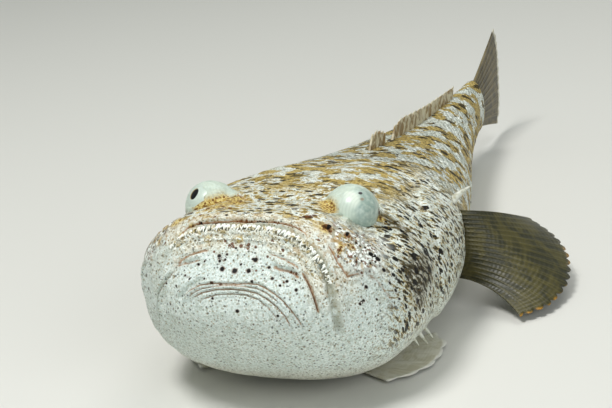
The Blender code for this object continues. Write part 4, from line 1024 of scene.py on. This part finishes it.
# Eyeball under a clear wet cornea: a soft highlight over milky white, with faint clouds and rings, and a
# small dark or clouded pupil.
def eyeMaterial(side):
    details = eyeLook[side]
    material, tree, shader = startMaterial(details["material"])
    gazeMap = addNode(tree, "ShaderNodeUVMap", uv_map="gazeMap").outputs[0]
    radius = addNode(tree, "ShaderNodeVectorMath", {0: gazeMap}, operation="LENGTH").outputs["Value"]
    rim = eyes["radius"] * math.radians(eyes["opening"][side] + cornea["rimAngle"])
    share = addNode(tree, "ShaderNodeMath", {0: radius, 1: rim}, operation="DIVIDE").outputs[0]
    colour = addNode(tree, "ShaderNodeValToRGB", {"Fac": share}, stops=details["rings"]).outputs[0]
    colour = addMarks(tree, gazeMap, side, details["tints"], colour)
    clouds = addNode(tree, "ShaderNodeTexNoise", {"Vector": gazeMap, "Scale": cornea["cloudsPerMm"],
                                                  "Detail": 5.0}).outputs["Fac"]
    rings = addNode(tree, "ShaderNodeTexWave", {
        "Vector": gazeMap, "Scale": math.pi / 10 / cornea["ringSpacing"], "Detail Scale": 0.6,
        "Distortion": cornea["ringWaver"]}, wave_type="RINGS", rings_direction="Z").outputs["Fac"]
    layers = ((clouds, *cornea["cloudRange"], cornea["clouding"], cornea["cloud"]),
              (rings, *cornea["ringRange"], details["ringing"], cornea["ring"]))
    for pattern, start, full, strength, tone in layers:
        amount = addNode(tree, "ShaderNodeMapRange", {"Value": pattern, "From Min": start, "From Max": full,
                                                      "To Max": strength}).outputs[0]
        colour = mixColours(tree, amount, colour, tone)
    colour = addMarks(tree, gazeMap, side, details["marks"], colour)
    tree.links.new(colour, shader.inputs["Base Color"])
    shader.inputs["Roughness"].default_value = cornea["roughness"]
    shader.inputs["IOR"].default_value = cornea["ior"]
    shader.inputs["Coat Weight"].default_value = cornea["wet"]
    shader.inputs["Coat Roughness"].default_value = cornea["wetRoughness"]
    shader.inputs["Coat IOR"].default_value = cornea["ior"]
    return material


for side in (1, -1):
    makeEye(side, eyeMaterial(side))
print("eyes made")


# Fringes of the mouth: small skin flaps, each with a few tapering prongs.
fringe = {
    "offset": {"upper": 0.5, "lower": -0.9, "lip": -2.3},      # mm out from the gape
    "length": {"upper": 2.4, "lower": 1.9, "lip": 1.0},
    "lowest": {1: 42.0, -1: 49.5},                             # where it ends on the fish's left and right
    "pitch": 1.45, "pitches": (0.88, 1.12), "lengths": (0.7, 1.15), "sideLengths": (0.6, 0.85),
    "endShare": 0.45, "endRun": 12,                            # shorter towards its ends
    "prongs": 3, "spread": 0.3, "spreads": (-0.08, 0.08), "rootSpread": 0.9, "rootDepth": 0.5,
    "rootRadius": 0.4, "tipRadius": 0.14, "bend": 0.3, "sides": 6, "cuts": 2, "seed": 5,
    "lean": {"out": 0.75, "across": 0.55, "forward": 0.35},
}


# One prong of unit length and unit root radius, which every prong of the fringes repeats.
def prongTemplate():
    bm = bmesh.new()
    taper = fringe["tipRadius"] / fringe["rootRadius"]
    bmesh.ops.create_cone(bm, cap_ends=True, segments=fringe["sides"], radius1=1.0, radius2=taper,
                          depth=1.0, matrix=Matrix.Translation((0, 0, 0.5)))
    upright = [edge for edge in bm.edges if abs(edge.verts[0].co.z - edge.verts[1].co.z) > 0.5]
    bmesh.ops.subdivide_edges(bm, edges=upright, cuts=fringe["cuts"])
    mesh = bpy.data.meshes.new("prong")
    bm.to_mesh(mesh)
    bm.free()
    return mesh


def addProng(bm, template, base, direction, length, radius, bend):
    first = len(bm.verts)
    bm.from_mesh(template)
    bm.verts.ensure_lookup_table()
    turn = Vector((0, 0, 1)).rotation_difference(direction).to_matrix()
    for vert in bm.verts[first:]:
        x, y, z = vert.co
        vert.co = base + turn @ Vector((x * radius, y * radius, z * length)) + bend * (length * z * z)


def makeFringe(row, material):
    rng = random.Random(fringe["seed"] + list(fringe["offset"]).index(row))
    lowest = fringe["lowest"]
    outline = [(x, z) for x, z in archOutline(fringe["offset"][row], 400) if z > lowest[1 if x > 0 else -1]]
    lengths = np.concatenate([[0], np.cumsum(np.linalg.norm(np.diff(outline, axis=0), axis=1))])
    outline = np.array(outline)
    lean = fringe["lean"]
    bm = bmesh.new()
    template = prongTemplate()
    at = 0.0
    while at < lengths[-1]:
        x, z = (float(np.interp(at, lengths, outline[:, axis])) for axis in (0, 1))
        hit, normal = onSkin((x, -60.0, z), (0, 1, 0))
        middle = Vector((x, 0, z - mouth["spring"])).normalized()
        across = middle * (-1 if row == "upper" else 1)
        side = middle.cross(Vector((0, 1, 0)))
        ending = min(1.0, fringe["endShare"] + (z - lowest[1 if x > 0 else -1]) / fringe["endRun"])
        size = fringe["length"][row] * mm * rng.uniform(*fringe["lengths"]) * ending
        forward = normal * lean["out"] + across * lean["across"] - Vector((0, lean["forward"], 0))
        forward.normalize()
        for number in range(fringe["prongs"]):
            turn = (number - (fringe["prongs"] - 1) / 2) * fringe["spread"]
            turn += rng.uniform(*fringe["spreads"])
            direction = (forward + side * turn).normalized()
            base = hit - direction * fringe["rootDepth"] * mm + side * turn * fringe["rootSpread"] * mm
            length = size * (1.0 if number == 1 else rng.uniform(*fringe["sideLengths"]))
            length += fringe["rootDepth"] * mm
            bend = Vector([rng.uniform(-fringe["bend"], fringe["bend"]) for _ in range(3)])
            addProng(bm, template, base, direction, length, fringe["rootRadius"] * mm, bend)
        at += fringe["pitch"] * rng.uniform(*fringe["pitches"])
    bmesh.ops.recalc_face_normals(bm, faces=bm.faces)
    obj = makeObject(bm, f"mouth_fringe_{row}")
    return finishPiece(obj, material, "pale_chin_skin")


# Tones that cloud into one another over so many mm, with a relief of that depth in mm where it has one.
def cloudedMaterial(name, size, detail, stops, roughness, depth=0.0):
    material, tree, shader = startMaterial(name)
    place = addNode(tree, "ShaderNodeTexCoord").outputs["Object"]
    cloud = addNode(tree, "ShaderNodeTexNoise", {"Vector": place, "Scale": perMetre(size),
                                                 "Detail": detail}).outputs["Fac"]
    ramp = addNode(tree, "ShaderNodeValToRGB", {"Fac": cloud}, stops=stops)
    tree.links.new(ramp.outputs[0], shader.inputs["Base Color"])
    if depth:
        bump = addNode(tree, "ShaderNodeBump", {"Strength": 0.4, "Distance": depth * mm, "Height": cloud})
        tree.links.new(bump.outputs[0], shader.inputs["Normal"])
    shader.inputs["Roughness"].default_value = roughness
    return material


# Thin skin flaps: damp and whitish, with small brownish stains.
flapStuff = cloudedMaterial("paleSkinFlaps", 1.8, 2.0, [
    (0.36, "#A99A6E"), (0.42, "#D8D3BC"), (0.5, "#EEF1E8"), (0.7, "#F3F6EF")], 0.45)
for row in fringe["offset"]:
    makeFringe(row, flapStuff)
print("fringes made")


# Scales of the trunk and tail: thin round-ended plates in staggered rows, each sunk in front and
# lying over the next behind. The belly and the head have none. There are thousands, so they are worked
# out in one go, a rounded plate of few faces each.
coat = {
    "front": 93.0, "back": 246.0, "spacing": (2.7, 1.7), "spacingRun": (100, 240), "rowStep": 0.86,
    "length": 1.85, "width": 1.25, "sizes": (0.92, 1.08),      # shares of the spacing
    "shift": 0.12, "twist": 6,                                 # how far the scales stray from their rows
    "sink": 0.16, "rise": 0.17, "thickness": 0.12, "dome": 0.07, "rim": 9, "droop": 14.0,
    "bellyNormal": -0.5, "bellyHeight": 7.0,                   # no scales on what faces down or lies lower
    "patch": 0.003, "seed": 11,
}


# Middle, normal, way back and way round of each scale, with its size and its place on the body's map.
def scalePlaces():
    rng = random.Random(coat["seed"])
    places = []
    angles = np.linspace(math.pi / 2, -math.pi / 2, 181)
    s = coat["front"]
    row = 0
    while s < coat["back"]:
        spacing = float(mix(*coat["spacing"], ease(s, *coat["spacingRun"])))
        q = noseDistance(s)
        ring = bodyAt(np.full_like(angles, q), angles)
        arc = np.concatenate([[0], np.cumsum(np.linalg.norm(np.diff(ring, axis=0), axis=1))])
        at = spacing * (0.5 if row % 2 else 1.0)
        while at < arc[-1]:
            for side in (1, -1):
                shifted = s + rng.uniform(-coat["shift"], coat["shift"]) * spacing
                size = spacing * rng.uniform(*coat["sizes"])
                twist = rng.uniform(-coat["twist"], coat["twist"])
                places.append((shifted, float(np.interp(at, arc, angles)), side, size, twist))
            at += spacing
        s += spacing * coat["rowStep"]
        row += 1
    s, angle, side, size, twist = np.array(places).T
    q = noseDistance(s)
    step = 0.02
    middle = bodyAt(q, angle)
    back = bodyAt(noseDistance(s + 0.5), angle) - middle
    around = middle - bodyAt(q, angle + step)
    normal = np.cross(around, back)
    normal, back = [axis / np.linalg.norm(axis, axis=1)[:, None] for axis in (normal, back)]
    flip = np.stack([side, np.ones_like(side), np.ones_like(side)], axis=-1)
    keep = (normal[:, 2] > coat["bellyNormal"]) & (middle[:, 2] > coat["bellyHeight"])
    middle, normal, back = middle * flip, normal * flip, back * flip
    turn = np.radians(coat["droop"] + twist)
    down = np.cross(normal, back) * side[:, None]
    back = back * np.cos(turn)[:, None] + down * np.sin(turn)[:, None]
    middle = dressPoints(middle, normal)
    return middle[keep], normal[keep], back[keep], size[keep], (angle * side)[keep], q[keep]


def makeScales(material):
    middle, normal, back, size, angle, q = scalePlaces()
    across = np.cross(normal, back)
    rim = coat["rim"]
    turn = np.arange(rim) * 2 * math.pi / rim
    flatA = np.concatenate([[0.0], np.cos(turn), np.cos(turn)]) / 2
    flatB = np.concatenate([[0.0], np.sin(turn), np.sin(turn)]) / 2
    height = coat["rise"] * (flatA + 0.5) - coat["sink"] * (0.5 - flatA)
    height[0] += coat["dome"]
    height[rim + 1:] -= coat["thickness"]
    size = size[:, None, None]
    points = (middle[:, None] + back[:, None] * (flatA * coat["length"])[None, :, None] * size
              + across[:, None] * (flatB * coat["width"])[None, :, None] * size
              + normal[:, None] * height[None, :, None])
    faces = []
    for i in range(rim):
        near, far = 1 + i, 1 + (i + 1) % rim
        faces += [(0, near, far), (near, near + rim, far + rim), (near, far + rim, far)]
    faces += [(rim + 1, rim + i + 1, rim + i) for i in range(2, rim)]
    faces = np.array(faces)
    count = len(flatA)
    everyFace = (faces[None] + np.arange(len(middle))[:, None, None] * count).reshape(-1, 3)
    mesh = bpy.data.meshes.new("scales")
    mesh.from_pydata(toMetres(points.reshape(-1, 3)).tolist(), [], everyFace.tolist())
    root = np.stack([(angle + math.pi) / (2 * math.pi), q / noseDistance(coat["back"] + 10)], axis=-1)
    patch = root[:, None] + np.stack([flatB, flatA], axis=-1)[None] * coat["patch"]
    uv = patch.reshape(-1, 2)[everyFace.ravel()]
    mesh.uv_layers.new(name="OFBake").data.foreach_set("uv", uv.astype(np.float32).ravel())
    scales = bpy.data.objects.new("scales", mesh)
    bpy.context.scene.collection.objects.link(scales)
    points = points.reshape(-1, 3)
    writeMarkings(mesh, points, np.repeat(normal, count, axis=0), points)
    return finishPiece(scales, material, "mottled_skin")


scales = makeScales(skinStuff)
print("scales made,", len(scales.data.polygons), "triangles")


# Bony spines, each a curved cone that flares into the skin: root, tip, radius.
spines = {
    "cheek_spines": [((32.4, 39.0, 13.4), (35.6, 40.6, 8.4), 1.15),
                     ((33.2, 44.5, 11.8), (36.6, 46.2, 6.6), 1.15),
                     ((33.4, 50.0, 11.0), (36.6, 51.8, 6.2), 1.1)],
    "shoulder_spines": [((31.5, 91.5, 33.0), (36.2, 104.2, 36.3), 1.75)],
}
spineShape = {"segments": 14, "rings": 10, "tip": 0.12, "flare": 0.35, "bend": 0.06}


def addSpine(bm, root, tip, radius):
    root, tip = (Vector(toMetres(p)) for p in (root, tip))
    turn = Vector((0, 0, 1)).rotation_difference(tip - root).to_matrix()
    first = len(bm.verts)
    bmesh.ops.create_cone(bm, cap_ends=True, segments=spineShape["segments"], radius1=1.0, radius2=1.0,
                          depth=1.0, matrix=Matrix.Translation((0, 0, 0.5)))
    bm.verts.index_update()
    upright = [edge for edge in bm.edges if edge.verts[0].index >= first
               and abs(edge.verts[0].co.z - edge.verts[1].co.z) > 0.5]
    bmesh.ops.subdivide_edges(bm, edges=upright, cuts=spineShape["rings"])
    bm.verts.ensure_lookup_table()
    for vert in bm.verts[first:]:
        t = vert.co.z
        width = radius * mm * (mix(1.0, spineShape["tip"], t) + spineShape["flare"] * (1 - t) ** 6)
        bow = math.sin(t * math.pi) * spineShape["bend"] * (tip - root).length
        around = turn @ Vector((vert.co.x * width, vert.co.y * width, 0))
        vert.co = root + (tip - root) * t + around + Vector((0, 0, bow))


# Bone under thin skin: cream clouded with grey, with a damp sheen.
boneStuff = cloudedMaterial("skinCoveredBone", 1.6, 3.0, [
    (0.34, "#A8A58C"), (0.5, "#C9CBBC"), (0.7, "#DCDDD0")], 0.4, 0.1)
for name, row in spines.items():
    bm = bmesh.new()
    for side in (1, -1):
        for root, tip, radius in row:
            addSpine(bm, np.array(root) * (side, 1, 1), np.array(tip) * (side, 1, 1), radius)
    bmesh.ops.recalc_face_normals(bm, faces=bm.faces)
    finishPiece(makeObject(bm, name), boneStuff, "pale_chin_skin")
print("spines made")


# Fins: a sheet of rays and membrane, thickened, with the rays raised and branching to the margin.
finShape = {
    "membrane": 0.32, "ray": 1.05, "rayTip": 0.5,      # thicknesses in mm
    "rayWidth": (0.17, 0.085),                         # share of the space between rays, at root and tip
    "fork": 0.17, "forkFrom": 0.42,                    # how far each ray parts, and from what way out
    "notchFrom": 0.3, "edge": 0.97, "edgeShare": 0.6,
    "columnsPerRay": 12, "sink": 2.4,
}


def makeFin(name, fin, surface, node):
    gaps = fin["rays"] - 1
    bm = bmesh.new()
    bmesh.ops.create_grid(bm, x_segments=gaps * finShape["columnsPerRay"], y_segments=fin["rows"], size=1.0)
    flat = np.array([vert.co for vert in bm.verts])
    u = (flat[:, 0] + 1) / 2
    v = (flat[:, 1] + 1) / 2
    phase = u * gaps
    off = phase - np.round(phase)
    fork = finShape["fork"] * ease(v, finShape["forkFrom"], 1.0)
    fromRay = np.minimum(np.abs(off - fork), np.abs(off + fork))
    width = mix(*finShape["rayWidth"], v)
    ridge = np.exp(-(fromRay / width) ** 2)
    reach = v * (1 - fin["notch"] * (np.abs(off) * 2) ** 2 * ease(v, finShape["notchFrom"], 1.0))
    points = surface(u, reach)
    layer = bm.loops.layers.uv.new("finMap")
    for face in bm.faces:
        for loop in face.loops:
            i = loop.vert.index
            loop[layer].uv = (float(phase[i]), float(reach[i]))
    for vert, point in zip(bm.verts, toMetres(points)):
        vert.co = point
    obj = makeObject(bm, name)
    thick = mix(finShape["membrane"], mix(finShape["ray"], finShape["rayTip"], v), ridge)
    thick = np.where(v > finShape["edge"], thick * finShape["edgeShare"], thick)
    group = obj.vertex_groups.new(name="thickness")
    for index, share in enumerate(thick / finShape["ray"]):
        group.add([index], float(share), "REPLACE")
    solidify = obj.modifiers.new("Thickness", "SOLIDIFY")
    solidify.thickness = finShape["ray"] * mm
    solidify.offset = 0.0
    solidify.vertex_group = "thickness"
    writeMask(obj.data, "ridge", ridge)
    return finishPiece(obj, membranes[fin["membrane"]], "fin_membrane", node)


def midline(s, z):
    return np.stack([np.zeros_like(s), s, z], axis=-1)


# Fins of the midline: where they start and end behind the chin, how high or long they are, how far each
# ray rises and sweeps back as a share of that, and how deep the margin is notched between the rays.
firstDorsal = {"span": (112.0, 128.0), "height": 7.5, "highest": 0.3, "fall": 0.55, "fallPower": 1.2,
               "rise": 0.62, "sweep": 0.95, "rays": 5, "notch": 0.2, "rows": 14,
               "membrane": "dorsalMembrane"}
secondDorsal = {"span": (137.0, 214.0), "height": 9.0, "fall": 2.5, "frontCut": 2.5, "frontRun": 0.06,
                "rise": 0.6, "sweep": 0.9, "rays": 14, "notch": 0.12, "rows": 20,
                "membrane": "dorsalMembrane"}
anal = {"span": (134.0, 219.0), "length": (3.5, 12.5), "growth": 1.6, "endCut": 4.5, "endFrom": 0.7,
        "fall": 0.75, "lowest": 1.0, "rays": 14, "notch": 0.1, "rows": 20, "membrane": "pelvicMembrane"}
caudal = {"rootS": 244.0, "rootZ": (14.6, 30.6), "tipS": 289.0, "tipZ": (5.5, 46.0), "round": 2.0,
          "corners": 4.0, "fan": 1.15, "rays": 12, "notch": 0.03, "rows": 34, "membrane": "tailMembrane"}


def dorsalSheet(fin, height, u, v):
    s = mix(*fin["span"], u)
    z = top(noseDistance(s)) - finShape["sink"] + (height * fin["rise"] + finShape["sink"]) * v
    return midline(s + height * fin["sweep"] * v, z)


def firstDorsalFin(u, v):
    fall = firstDorsal["fall"] * np.abs(u - firstDorsal["highest"]) ** firstDorsal["fallPower"]
    return dorsalSheet(firstDorsal, firstDorsal["height"] * (1 - fall), u, v)


def secondDorsalFin(u, v):
    front = secondDorsal["frontCut"] * np.exp(-(u / secondDorsal["frontRun"]) ** 2)
    return dorsalSheet(secondDorsal, secondDorsal["height"] - secondDorsal["fall"] * u - front, u, v)


def analFin(u, v):
    s = mix(*anal["span"], u)
    end = np.maximum(u - anal["endFrom"], 0.0) / (1 - anal["endFrom"])
    length = mix(*anal["length"], np.minimum(u * anal["growth"], 1.0)) - anal["endCut"] * end
    root = bottom(noseDistance(s)) + finShape["sink"]
    tip = np.maximum(root - finShape["sink"] - length * anal["fall"], anal["lowest"])
    return midline(s + length * anal["fall"] * v, mix(root, tip, v))


def caudalFin(u, v):
    rim = 1 - (2 * u - 1) ** 2
    tipS = caudal["tipS"] + caudal["round"] * rim - caudal["corners"] * (1 - rim) ** 3
    rootZ, tipZ = mix(*caudal["rootZ"], u), mix(*caudal["tipZ"], u)
    return midline(mix(caudal["rootS"], tipS, v), mix(rootZ, tipZ, v ** caudal["fan"]))


# Paired fins: the margin and the root, (x, s, z) and (s, z), from the front ray to the last.
pectoral = {
    "margin": [(47.0, 137.0, 15.0), (56.5, 131.5, 11.0), (63.5, 120.0, 7.6), (66.0, 105.5, 5.0),
               (63.5, 91.0, 3.2), (56.0, 81.0, 2.4)],
    "root": [(96.0, 31.0), (93.5, 9.5)], "bow": (15.0, -1.5, 0.5),
    "rays": 17, "notch": 0.03, "rows": 34, "membrane": "pectoralMembrane",
}
pelvic = {
    "margin": [(29.0, 30.0, 1.2), (35.5, 37.5, 1.1), (39.0, 48.0, 1.0), (38.5, 59.0, 1.0),
               (33.0, 68.0, 1.0)],
    "rootX": 14.0, "rootS": (39.5, 50.5), "rootZ": 1.0,
    "rays": 6, "notch": 0.04, "rows": 24, "membrane": "pelvicMembrane",
}


def through(points):
    knots = np.linspace(0, 1, len(points))
    tracks = [smoothTrack(knots, [point[axis] for point in points]) for axis in range(3)]
    return lambda u: np.stack([track(u) for track in tracks], axis=-1)


def pectoralFin(side):
    margin = through(pectoral["margin"])

    def surface(u, v):
        s, z = (mix(front, last, u) for front, last in zip(*pectoral["root"]))
        root = np.stack([flankX(s, z) - finShape["sink"], s, z], axis=-1)
        bow = root + pectoral["bow"]
        v = v[:, None]
        return (root * (1 - v) ** 2 + bow * (2 * v * (1 - v)) + margin(u) * v * v) * (side, 1, 1)

    return surface


def pelvicFin(side):
    margin = through(pelvic["margin"])

    def surface(u, v):
        root = np.stack([np.full_like(u, pelvic["rootX"]), mix(*pelvic["rootS"], u),
                         np.full_like(u, pelvic["rootZ"])], axis=-1)
        return mix(root, margin(u), v[:, None]) * (side, 1, 1)

    return surface


# Membranes: their tone, their blotches and how many mm those measure, the tone of the rays, and of the
# margin with the share of the way out at which it starts.
finLooks = {
    "dorsalMembrane": {"base": "#C9BE9C", "blotch": "#8A6F3C", "patch": 4.0, "ray": "#D9D6C4",
                       "rim": "#DAD6C2", "rimStart": 1.0},
    "pectoralMembrane": {"base": "#2E2D18", "blotch": "#47421F", "patch": 6.0, "ray": "#6E6636",
                         "rim": "#A8791F", "rimStart": 1.04},
    "tailMembrane": {"base": "#5E5230", "blotch": "#3B331B", "patch": 6.0, "ray": "#A39468",
                     "rim": "#D5D0BA", "rimStart": 1.0},
    "pelvicMembrane": {"base": "#CFCDBD", "blotch": "#BDB9A2", "patch": 5.0, "ray": "#DEDCCF",
                       "rim": "#E0DED2", "rimStart": 1.0},
}
finFinish = {"rayShare": 0.3, "rimWaver": 0.12, "rimBlend": 0.03, "joints": 8.0, "jointDepth": 0.15,
             "roughness": 0.42}


# Thin damp skin between the rays, with blotches and a wavering margin.
def finMaterial(name, look):
    material, tree, shader = startMaterial(name)
    place = addNode(tree, "ShaderNodeTexCoord").outputs["Object"]
    finMap = addNode(tree, "ShaderNodeUVMap", uv_map="finMap").outputs[0]
    outward = addNode(tree, "ShaderNodeSeparateXYZ", {0: finMap}).outputs[1]
    ridge = addNode(tree, "ShaderNodeAttribute", attribute_name="ridge").outputs["Fac"]
    cloud = addNode(tree, "ShaderNodeTexNoise", {"Vector": place, "Scale": perMetre(look["patch"]),
                                                 "Detail": 3.0, "Distortion": 0.8}).outputs["Fac"]
    wavy = addNode(tree, "ShaderNodeMath", {0: cloud, 1: finFinish["rimWaver"], 2: outward},
                   operation="MULTIPLY_ADD").outputs[0]
    rimFull = look["rimStart"] + finFinish["rimBlend"]
    layers = ((cloud, 0.42, 0.58, 1.0, look["blotch"]),
              (ridge, 0.3, 1.0, finFinish["rayShare"], look["ray"]),
              (wavy, look["rimStart"], rimFull, 1.0, look["rim"]))
    colour = hexColour(look["base"])
    for value, start, full, strength, tone in layers:
        amount = addNode(tree, "ShaderNodeMapRange", {"Value": value, "From Min": start, "From Max": full,
                                                      "To Max": strength}, interpolation_type="SMOOTHSTEP")
        colour = mixColours(tree, amount.outputs[0], colour, tone)
    tree.links.new(colour, shader.inputs["Base Color"])
    # the joints of a soft ray, about 25 from its root to the margin
    joints = addNode(tree, "ShaderNodeTexWave", {"Vector": finMap, "Scale": finFinish["joints"],
                                                 "Distortion": 0.6}, bands_direction="Y").outputs["Fac"]
    bump = addNode(tree, "ShaderNodeBump", {"Strength": 0.4, "Distance": finFinish["jointDepth"] * mm,
                                            "Height": joints})
    tree.links.new(bump.outputs[0], shader.inputs["Normal"])
    shader.inputs["Roughness"].default_value = finFinish["roughness"]
    return material


membranes = {name: finMaterial(name, look) for name, look in finLooks.items()}

makeFin("first_dorsal", firstDorsal, firstDorsalFin, "first_dorsal_fin")
makeFin("second_dorsal", secondDorsal, secondDorsalFin, "second_dorsal_fin")
makeFin("anal", anal, analFin, "anal_fin")
makeFin("caudal", caudal, caudalFin, "caudal_fin")
for side, label in ((1, "left"), (-1, "right")):
    makeFin(f"pectoral_{label}", pectoral, pectoralFin(side), f"pectoral_fin_{label}")
    makeFin(f"pelvic_{label}", pelvic, pelvicFin(side), f"pelvic_fin_{label}")
print("fins made")


# Camera: its angle in degrees, the length of its lens in pixels of a picture so wide, what it looks at and
# from how far, in mm.
view = {"turn": 20.79, "rise": 17.66, "roll": 4.5, "lens": 1748.4, "pictureWidth": 612, "sensor": 36.0,
        "aim": (4.66, 40.0, 50.17), "distance": 500.0}


def makeCamera():
    turn, rise, roll = (math.radians(view[key]) for key in ("turn", "rise", "roll"))
    back = Vector((math.sin(turn) * math.cos(rise), -math.cos(turn) * math.cos(rise), math.sin(rise)))
    right = Vector((math.cos(turn), math.sin(turn), 0))
    up = back.cross(right)
    camera = bpy.data.objects.new("camera", bpy.data.cameras.new("camera"))
    camera.data.sensor_width = view["sensor"]
    camera.data.lens = view["sensor"] * view["lens"] / view["pictureWidth"]
    camera.data.clip_start = 0.01
    tilted = [right * math.cos(roll) - up * math.sin(roll), right * math.sin(roll) + up * math.cos(roll),
              back]
    spot = Vector(toMetres(view["aim"])) + back * view["distance"] * mm
    camera.matrix_world = Matrix.Translation(spot) @ Matrix(tilted).transposed().to_4x4()
    bpy.context.scene.collection.objects.link(camera)
    bpy.context.scene.camera = camera


# Soft lamps: place, what they face and size in metres, watts and tint.
lamps = {
    "key": ((-0.14, -0.46, 0.97), (0, -0.06, 0.03), 0.28, 8.3, "#FFFFFF"),
    "top": ((0.12, 0.42, 0.8), (0, 0.04, 0.03), 0.5, 2.0, "#FFFFFF"),
    "fill": ((0.7, -0.6, 0.45), (0, -0.05, 0.03), 0.6, 3.3, "#F4F8FF"),
}


def areaLight(name, spot, aim, size, watts, tint):
    light = bpy.data.objects.new(name, bpy.data.lights.new(name, "AREA"))
    light.data.size = size
    light.data.energy = watts
    light.data.color = hexColour(tint)[:3]
    light.location = spot
    light.rotation_mode = "QUATERNION"
    light.rotation_quaternion = (Vector(aim) - Vector(spot)).to_track_quat("-Z", "Y")
    bpy.context.scene.collection.objects.link(light)


# Matt pale card under the fish, a hair below it: even, with no shine.
def makeFloor():
    bm = bmesh.new()
    bmesh.ops.create_grid(bm, x_segments=1, y_segments=1, size=3.0)
    bmesh.ops.translate(bm, verts=bm.verts, vec=(0, 0, -0.00005))
    floor = makeObject(bm, "floor")
    material, tree, shader = startMaterial("paleFloor")
    shader.inputs["Base Color"].default_value = hexColour("#D6D5CE")
    shader.inputs["Roughness"].default_value = 0.8
    floor.data.materials.append(material)


makeCamera()
makeFloor()
for name, lamp in lamps.items():
    areaLight(name, *lamp)
world = bpy.data.worlds.new("studio")
world.use_nodes = True
world.node_tree.nodes["Background"].inputs["Color"].default_value = hexColour("#E4EDEA")
world.node_tree.nodes["Background"].inputs["Strength"].default_value = 0.32
bpy.context.scene.world = world
bpy.context.scene.view_settings.view_transform = "Standard"
print("camera and light set")
